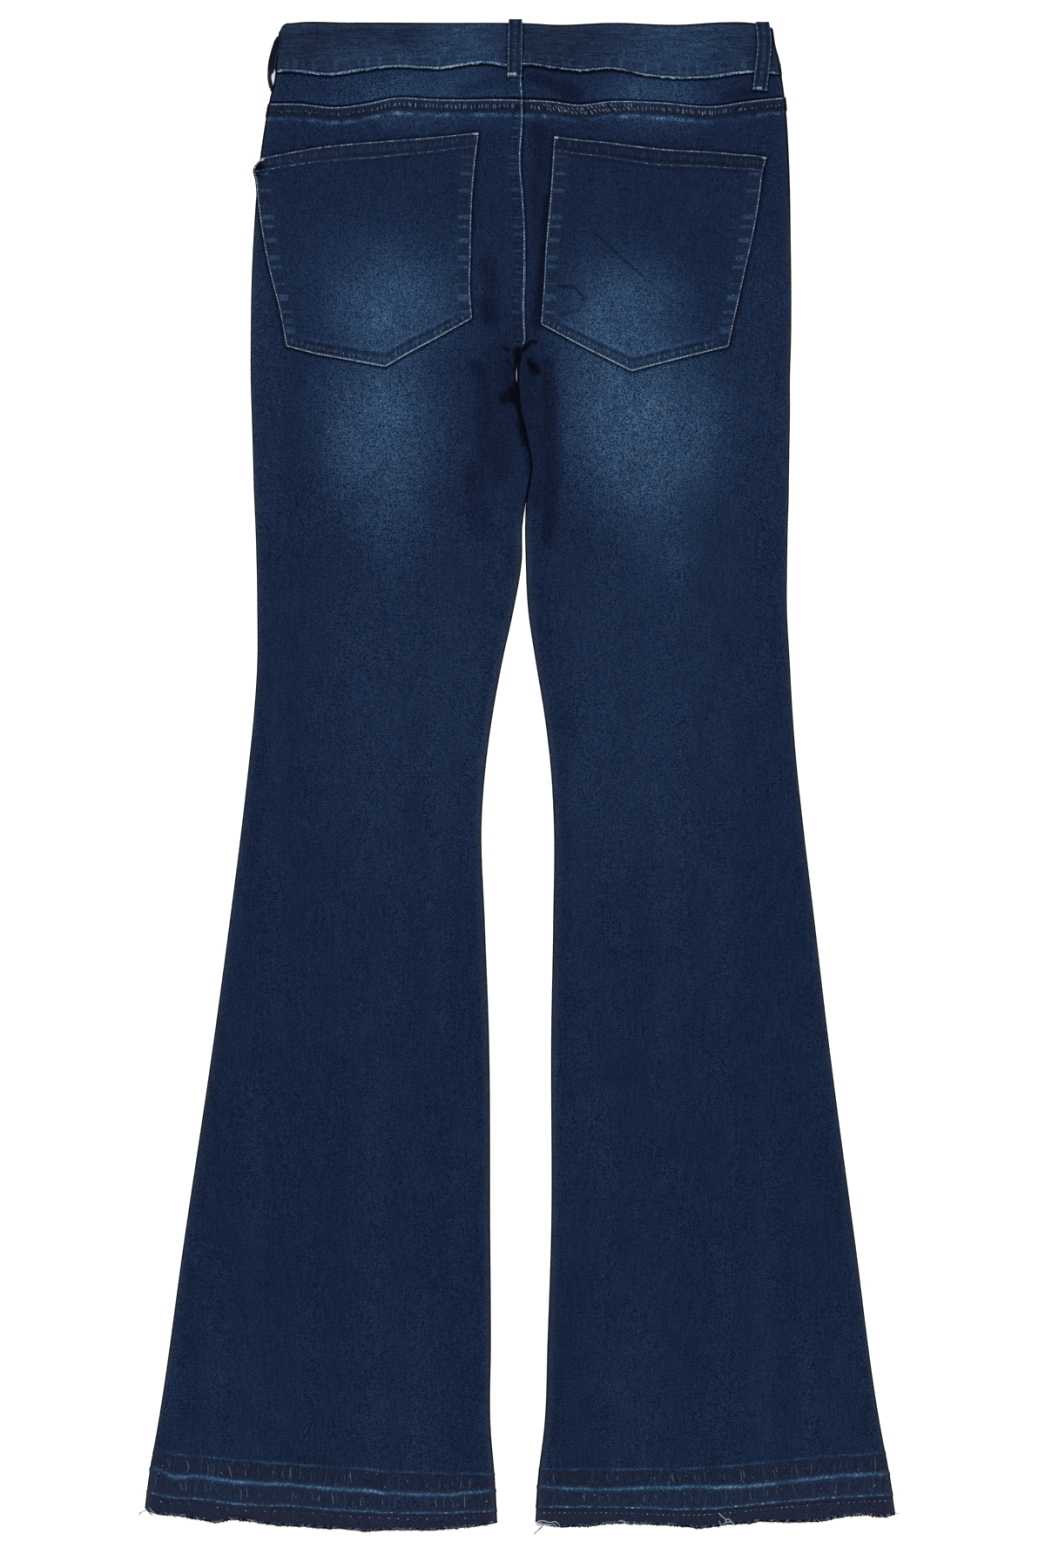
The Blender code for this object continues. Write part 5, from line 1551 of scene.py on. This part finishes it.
for side in sides:
    leg, pocket = named("BackLeg", side), named("BackPocket", side)
    width, depth = pocketWidth(side), pocketLook["depth"]
    start, stop = (-182.5, 0.5) if side == "left" else (192.5, 6.5)
    sew(backStitches, seamPath(yokeSeam, start, stop, 1.2), leg, worn)
    sew(backStitches, seamPath(yokeSeam, start, stop, 8.6), leg, tonal, uneven=0.02)
    run, level = np.linspace(0, 1, 120), np.zeros(120)
    # two rows round the pocket: inset, where they start below the mouth, light, extra light at the foot
    for inset, top, light, foot, uneven in ((1.25, 1.25, worn, 0.15, 0.16), (7.6, 1.5, tonal, 0.0, 0.02)):
        near, low, high = inset / width, 1 - inset / depth, top / depth
        for share, row, more in (
            (near + level, mix(high, low, run), 0.0),
            (mix(near, 1 - near, run), low + level, foot),
            (1 - near + level, mix(low, high, run), 0.0),
        ):
            sew(backStitches, pocketPath(side, share, row), pocket, light + more, uneven=uneven)
    for row, light in ((1.15, worn - 0.12), (11.6, stitchLook["mouthRow"])):
        path = pocketPath(side, np.linspace(0.012, 0.988, 120), row / depth + level)
        sew(backStitches, path, pocket, light, uneven=0.2)
    corner = 0.985 if side == "left" else 0.015
    for share, light in ((corner, worn + 0.3), (1 - corner, worn)):  # a bar tack at each end of the mouth
        for k in range(5):
            path = pocketPath(side, share + np.zeros(8) + 0.0035 * (k - 2), np.linspace(0.4, 4.0, 8) / depth)
            sew(backStitches, path, pocket, light, length=1.6, pitch=1.7)
    # the old hem's stitching: worn dashes along the lower crease, and needle holes under it
    low, high = hemPoints[side][0][0] + 6, hemPoints[side][-1][0] - 4
    sew(backStitches, seamPath(creaseLines[side][2], low, high, 0.1), leg, stitchLook["hemRow"],
        pitch=4.0, length=2.5, radius=0.26, uneven=0.22)
    sew(backStitches, seamPath(creaseLines[side][2], low, high, 4.4), leg, stitchLook["hemHoles"],
        pitch=7.0 if side == "left" else 3.8, length=0.6, radius=0.28, uneven=0.30)
for offset, light, uneven in ((-1.05, worn, 0.16), (-9.8, tonal, 0.02)):  # centre seam
    for start, stop, carrier in ((37.5, 59.5, "denimYokeLeft"), (62.5, 239.5, "denimBackLegLeft")):
        down = steps(start, stop, 1.5)
        path = np.stack([outline["leftInner"](down) + offset, down], axis=1)
        sew(backStitches, path, carrier, light, uneven=uneven)

seamRows = (  # line, from, to, how far below it, piece, light, unevenness
    (waistTop, -172.0, 182.0, 2.7, "denimBandBack", stitchLook["bandTop"], 0.08),
    (waistSeam, -176.0, 188.0, -1.25, "denimBandBack", worn - 0.05, 0.2),
    (waistSeam, -176.0, 188.0, -3.7, "denimBandBack", stitchLook["bandFoot"], 0.10),
    (frontBandSeam, -176.0, 17.0, -1.6, "denimBandFrontLeft", 0.3, 0.12),
    (frontBandSeam, 20.0, 188.0, -1.6, "denimBandFrontRight", 0.3, 0.12),
    (frontBandTop, -174.0, 16.0, 2.4, "denimBandFrontLeft", 0.2, 0.12),
    (frontBandTop, 20.0, 184.0, 2.4, "denimBandFrontRight", 0.2, 0.12),
    (scoopLine, -181.0, -92.5, 1.8, "denimFrontLegLeft", stitchLook["front"], 0.12),
    (scoopLine, -181.0, -92.5, 7.8, "denimFrontLegLeft", stitchLook["front"], 0.12),
    (scoopLine, 96.5, 191.0, 1.8, "denimFrontLegRight", stitchLook["front"], 0.12),
    (scoopLine, 96.5, 191.0, 7.8, "denimFrontLegRight", stitchLook["front"], 0.12),
)
for seam, start, stop, offset, carrier, light, uneven in seamRows:
    book = frontStitches if "Front" in carrier else backStitches
    sew(book, seamPath(seam, start, stop, offset), carrier, light, uneven=uneven)
flyTurn = 158.0  # where the fly's stitching begins to curve
for offset in (38.0, 32.0):  # its double row, on the left front
    turn = np.linspace(0, math.pi / 2, 40)
    drop = steps(frontBandSeam(0.0) + 3, flyTurn, 1.5)
    curve = np.stack([middle - offset * np.cos(turn), flyTurn + (offset - 4) * np.sin(turn)], axis=1)
    fly = np.concatenate([np.stack([np.full(len(drop), middle - offset), drop], axis=1), curve])
    sew(frontStitches, fly, "denimFrontLegLeft", stitchLook["front"])

for node, centre in loopLines.items():  # two rows along each flat loop, and a bar tack at its free end
    loop, book = loops[node], frontStitches if "front" in node else backStitches
    points = np.array([vertex.co for vertex in loop.data.vertices]) * 1000
    low, high = (garment["length"] / 2 - end for end in (points[:, 1].max(), points[:, 1].min()))
    down = steps(low + 4, high - 3.5, 1.5)
    for inset in (-3.4, 3.4):
        path = np.stack([centre(down) + inset, down], axis=1)
        sew(book, path, loop.name, stitchLook["loopRow"], uneven=0.05)
    light = stitchLook["loopTack"].get(node, stitchLook["otherTack"])
    for k in range(17):
        across = float(centre(down)[-1]) - 3.4 - 4.3 + k * 0.52
        bar = np.linspace((across, high - 3.2), (across + 0.3, high - 0.5), 12)
        sew(book, bar, loop.name, light if 2 < k < 14 else light + 0.3, pitch=9.0, radius=0.27, uneven=0.2)
declare(backStitches.finish("topstitchingBack", thread))
declare(frontStitches.finish("topstitchingFront", thread))
declare(hatchBook.finish("wornYarns", wornYarn))
print("stitches made:", madeCount["topstitchingBack"], madeCount["topstitchingFront"], "triangles")


# Loose threads: fray along the raw hems, a few longer tufts, and one hair at the right loop.

frayLook = {"perHem": 1000, "clumps": 230, "radius": 0.13, "sidesOfThread": 4}
looseThreads = (   # points (across, down), radius, how pale
    (((-272.0, 1092.6), (-273.9, 1094.4), (-277.6, 1096.5), (-280.6, 1099.2)), 0.36, 0.0),
    (((-276.4, 1095.6), (-278.4, 1097.0), (-279.6, 1100.6)), 0.16, 0.25),
    (((-278.2, 1096.6), (-279.9, 1097.0), (-281.6, 1097.9)), 0.22, 0.05),
    (((-272.6, 1094.0), (-271.4, 1097.4), (-269.0, 1098.9)), 0.42, 0.0),
    (((-272.2, 1092.3), (-269.9, 1095.6), (-268.2, 1097.3), (-266.7, 1097.1)), 0.16, 0.6),
    (((11.4, 1105.2), (13.0, 1103.4), (16.6, 1102.6), (22.2, 1103.9), (26.4, 1103.4), (28.2, 1104.8),
      (30.1, 1107.6)), 0.27, 0.95),
    (((11.8, 1106.4), (14.4, 1104.9), (17.6, 1105.3), (21.0, 1106.0), (24.8, 1105.3),
      (27.6, 1107.1)), 0.24, 0.85),
    (((11.2, 1104.6), (14.2, 1106.2), (17.4, 1104.4), (22.6, 1105.0), (26.2, 1106.9)), 0.24, 0.0),
    (((12.0, 1105.6), (14.8, 1103.9), (17.0, 1105.6), (20.6, 1104.9)), 0.20, 0.45),
    (((17.1, 1105.6), (14.9, 1109.0), (12.0, 1111.2), (9.8, 1113.6)), 0.36, 0.0),
    (((16.6, 1106.4), (13.9, 1109.2), (12.7, 1111.5), (8.2, 1114.2)), 0.18, 0.30),
    (((145.9, 1097.0), (148.3, 1099.3), (150.6, 1101.1), (151.5, 1102.7), (150.8, 1104.4),
      (149.4, 1106.0)), 0.25, 0.95),
    (((150.8, 1102.2), (152.5, 1101.3), (154.2, 1101.9), (154.7, 1103.2), (152.5, 1103.7),
      (150.8, 1103.1)), 0.25, 0.75),
    (((154.2, 1102.7), (156.4, 1104.4), (158.4, 1106.4)), 0.24, 0.9),
    (((146.4, 1102.5), (147.0, 1104.4), (148.2, 1106.6)), 0.20, 0.8),
    (((147.6, 1102.0), (149.8, 1104.0), (151.2, 1106.4)), 0.26, 0.0),
    (((72.0, 1103.4), (74.6, 1102.3), (78.8, 1105.6)), 0.20, 0.65),
    (((-214.0, 1099.8), (-211.6, 1101.4), (-208.2, 1103.0)), 0.18, 0.35),
    (((-19.0, 1101.4), (-16.8, 1103.6), (-15.4, 1103.9)), 0.22, 0.0),
    (((274.0, 1095.6), (277.4, 1097.6), (280.2, 1098.0)), 0.26, 0.0),
    (((-184.6, 50.4), (-183.8, 52.0), (-182.2, 52.8)), 0.20, 0.75),
    (((-184.9, 48.8), (-185.4, 50.2), (-184.8, 51.6)), 0.18, 0.6),
)
frayRandom = np.random.default_rng(81)
frayBook = StitchBook(1)


def rawEdgeDown(side, across):
    return float(hemLine[side](across) + ragged(across))


def addHair(across, down, heights, length, angle, curl, radius, pale):  # heights: start, middle, end
    t = np.linspace(0, 1, 5)
    heading, step = angle + curl * t, length / 4
    x = across + np.concatenate([[0], np.cumsum(np.sin(heading[1:]) * step)])
    y = down + np.concatenate([[0], np.cumsum(np.cos(heading[1:]) * step)])
    centres = np.stack([x, y, np.interp(t, (0.0, 0.45, 1.0), heights)], axis=1)
    frayBook.addThread(centres, radius * np.array([1, 1, 1, 0.85, 0.5]), pale, frayLook["sidesOfThread"])


for side in sides:
    low, high = hemPoints[side][0][0] + 3, hemPoints[side][-1][0] - 3
    clumps = frayRandom.uniform(low, high, frayLook["clumps"])
    for k in range(frayLook["perHem"]):
        pale = k % 5 < 2
        across = frayRandom.uniform(low, high)
        if pale:  # pale yarn ends lie in small clumps over the edge
            across = float(np.clip(frayRandom.choice(clumps) + frayRandom.normal(0, 0.9), low, high))
        edge = rawEdgeDown(side, across)
        top = float(backHeight(across, edge))
        if pale:
            addHair(across, edge - frayRandom.uniform(0.9, 2.0), (top + 0.05, top + 0.22, top - 0.1),
                    frayRandom.uniform(0.35, 0.9), frayRandom.normal(0, 0.45), frayRandom.normal(0, 0.8),
                    frayLook["radius"] * 0.8, frayRandom.uniform(0.25, 0.85))
        else:
            addHair(across, edge - 0.5, (top - 0.1, top - 0.4, top - 1.0), frayRandom.uniform(0.9, 1.9),
                    frayRandom.normal(0, 0.7), frayRandom.normal(0, 1.2), frayLook["radius"] * 1.7, 0.0)
for points, radius, pale in looseThreads:
    points = np.array(points)
    run = alongPath(points)
    count = max(6, int(run[-1] / 0.8))
    across, down = (
        smoothLine(np.stack([run, points[:, k]], axis=1))(np.linspace(0, run[-1], count)) for k in (0, 1)
    )
    centres = np.stack([across, down, np.zeros(count)], axis=1)
    for centre in centres:  # it lies on the leg, then bends down to the floor outside it
        side = "left" if centre[0] < 0 else "right"
        inside = hemPoints[side][0][0] < centre[0] < hemPoints[side][-1][0]
        past = centre[1] - rawEdgeDown(side, centre[0]) if inside else 3.0
        top = float(backHeight(centre[0], centre[1])) + radius
        centre[2] = mix(top, radius + 0.1, ease(past, -0.2, 5.0))
    shrink = np.interp(np.linspace(0, 1, count), (0, 0.1, 0.8, 1), (0.6, 1, 0.9, 0.3))
    frayBook.addThread(centres, radius * shrink, pale, frayLook["sidesOfThread"])
loopTop = float(surfaceHeight(["denimLoopSideRight"], 177.8, 8.0))
addHair(177.2, 4.5, (loopTop + 0.1, loopTop, loopTop - 0.6), 6.4, math.pi - 0.2, 0.7, 0.12, 0.3)
declare(frayBook.finish("looseThreads", frayThread))
print("loose threads made:", madeCount["looseThreads"], "triangles")


# Waist button and closed zip, on the side that rests.


def makeButton():
    # share of the radius, drop from the band
    profile = ((0.0, 0.0), (0.34, 0.0), (0.34, 0.8), (0.86, 0.9), (0.97, 1.15), (1.0, 1.6), (0.99, 2.2),
               (0.93, 2.65), (0.84, 2.8), (0.80, 2.66), (0.76, 2.72), (0.6, 3.05), (0.35, 3.32), (0.0, 3.4))
    look = buttonLook
    band = surfaceHeight(["denimBandFrontLeft"], look["across"], look["down"], fromAbove=False)
    sidesRound = 48
    turns = np.arange(sidesRound) * 2 * math.pi / sidesRound
    points, wear = [], []
    for share, drop in profile:
        reach = look["radius"] * max(share, 0.002)
        points.append(np.stack([look["across"] + reach * np.cos(turns), look["down"] + reach * np.sin(turns),
                                np.full(sidesRound, band - seamGap - drop)], axis=1))
        wear.append(np.full(sidesRound, 0.75 if 0.9 < share else 0.35))
    index = np.arange(len(profile) * sidesRound).reshape(-1, sidesRound)
    faces = gridFaces(np.concatenate([index, index[:, :1]], axis=1))
    caps = np.stack([index[0], index[-1][::-1]])
    made = meshObject("waistButton", np.concatenate(points), [faces, caps], copper,
                      {"wear": np.concatenate(wear)})
    declare(made, "waist_button")


zipLook = {
    "half": 13.0, "top": 72.0, "bottom": 178.0, "tape": 0.6,
    "tooth": 1.5, "toothPitch": 1.1, "toothHalf": 0.36, "toothAcross": (-0.7, 2.6),
    "slider": ((-2.6, 0.0), (-3.6, 2.5), (-3.8, 6.0), (-2.6, 9.5), (2.6, 9.5), (3.8, 6.0), (3.6, 2.5),
               (2.6, 0.0)),
    "tab": ((-1.7, 3.0), (-2.0, 8.0), (-1.6, 17.0), (1.6, 17.0), (2.0, 8.0), (1.7, 3.0)),
}
blockFaces = np.array([(0, 1, 3, 2), (4, 6, 7, 5), (0, 4, 5, 1), (2, 3, 7, 6), (0, 2, 6, 4), (1, 5, 7, 3)])


def zipBase(rows):  # the height the tapes lie at, just clear of the front panels
    panels = ["denimFrontLegLeft", "denimFrontLegRight"]
    base = []
    for down in rows:
        spots = [middle + shift for shift in (-13, -6, -2, 2, 6, 13)]
        near = [surfaceHeight(panels, a, d) for a in spots for d in (down - 2, down, down + 2)]
        base.append(max(h for h in near if h is not None) + seamGap)
    return np.array(base)


def makeZip():
    look = zipLook
    rows = steps(look["top"], look["bottom"], 2.0)
    base = zipBase(rows)
    for side, node in (("left", "fly_zip"), ("right", None)):
        places = np.sort(middle + outward[side] * steps(0.9, look["half"], 0.9))
        across, down = np.meshgrid(places, rows)
        inner = np.stack([across, down, base[:, None] + 0 * across], axis=-1)
        looks = {"wear": 0.3 + np.zeros(across.shape), "seamRun": down}
        title = side.capitalize()
        tape = wallObject("zipTape" + title, inner + (0, 0, look["tape"]), inner, tapeCloth, looks)
        layFlat(tape, node)

    points = []
    for k, down in enumerate(np.arange(look["top"] + 12, look["bottom"] - 3, look["toothPitch"])):
        sign = 1 if k % 2 else -1
        low = float(np.interp(down, rows, base)) + 0.15
        ends = sorted(middle + sign * reach for reach in look["toothAcross"])
        points += [(a, d, h) for a in ends for d in (down - look["toothHalf"], down + look["toothHalf"])
                   for h in (low, low + look["tooth"])]
    faces = [blockFaces + start for start in range(0, len(points), 8)]
    teeth = meshObject("zipTeeth", np.array(points), [np.concatenate(faces)], brass,
                       {"wear": np.full(len(points), 0.4)})

    low = float(np.interp(look["top"] + 8, rows, base)) + 0.1
    points, sideFaces, caps = [], [], []
    for shape, bottom, top in ((look["slider"], 0.0, 1.75), (look["tab"], 1.85, 2.2)):
        size, ring = len(shape), np.arange(len(shape)) + len(points)
        for height in (bottom, top):
            points += [(middle + a, look["top"] + 2 + d, low + height) for a, d in shape]
        after = np.roll(ring, -1)
        sideFaces.append(np.stack([ring, after, after + size, ring + size], axis=1))
        caps += [np.array([ring[::-1]]), np.array([ring + size])]
    slider = meshObject("zipSlider", np.array(points), [np.concatenate(sideFaces)] + caps, brass,
                        {"wear": np.full(len(points), 0.5)})
    for piece in (teeth, slider):
        declare(piece)


makeButton()
makeZip()
print("button and zip made")


# Floor, light and camera.

studioLook = {  # metres and watts
    "floorDrop": 0.0006, "floorHalf": 4, "floorColour": (0.93, 0.93, 0.935), "floorGlow": 0.55,
    "worldStrength": 0.72, "worldColour": (1.0, 1.0, 1.0), "lightSize": 1.9,
    "keyPower": 62.0, "keyPlace": (-0.5, 1.5, 2.7),
    "fillPower": 20.0, "fillPlace": (1.3, -0.9, 2.6),
}
white = (1.0, 1.0, 1.0, 1.0)
floorMesh = bpy.data.meshes.new("floor")
corners = [(x * studioLook["floorHalf"], y * studioLook["floorHalf"], 0)
           for x, y in ((-1, -1), (1, -1), (1, 1), (-1, 1))]
floorMesh.from_pydata(corners, [], [(0, 1, 2, 3)])
floor = bpy.data.objects.new("floor", floorMesh)
floor.location.z = -studioLook["floorDrop"]
bpy.context.scene.collection.objects.link(floor)
floorFinish = bpy.data.materials.new("pale floor")
floorFinish.use_nodes = True
floorShader = floorFinish.node_tree.nodes["Principled BSDF"]
floorShader.inputs["Base Color"].default_value = (*studioLook["floorColour"], 1.0)
floorShader.inputs["Roughness"].default_value = 0.9
floorShader.inputs["Emission Color"].default_value = white
floorShader.inputs["Emission Strength"].default_value = studioLook["floorGlow"]
floorMesh.materials.append(floorFinish)


def addArea(name, power, place):  # a square light aimed at the middle
    light = bpy.data.lights.new(name, "AREA")
    light.energy = power
    light.size = studioLook["lightSize"]
    made = bpy.data.objects.new(name, light)
    made.location = place
    made.rotation_euler = (-Vector(place)).to_track_quat("-Z", "Y").to_euler()
    bpy.context.scene.collection.objects.link(made)


addArea("keyLight", studioLook["keyPower"], studioLook["keyPlace"])
addArea("fillLight", studioLook["fillPower"], studioLook["fillPlace"])
world = bpy.data.worlds.new("studio")
world.use_nodes = True
background = world.node_tree.nodes["Background"]
background.inputs["Color"].default_value = (*studioLook["worldColour"], 1.0)
background.inputs["Strength"].default_value = studioLook["worldStrength"]
bpy.context.scene.world = world
bpy.context.scene.view_settings.view_transform = "Standard"

cameraLook = {"place": (0.00198, -0.00672, 3.0), "lens": 93.75, "sensor": 36.0}  # straight above
cameraData = bpy.data.cameras.new("camera")
cameraData.lens = cameraLook["lens"]
cameraData.sensor_width = cameraLook["sensor"]
camera = bpy.data.objects.new("camera", cameraData)
camera.location = cameraLook["place"]
bpy.context.scene.collection.objects.link(camera)
bpy.context.scene.camera = camera
print("floor, light and camera set; triangles in all:", sum(madeCount.values()))
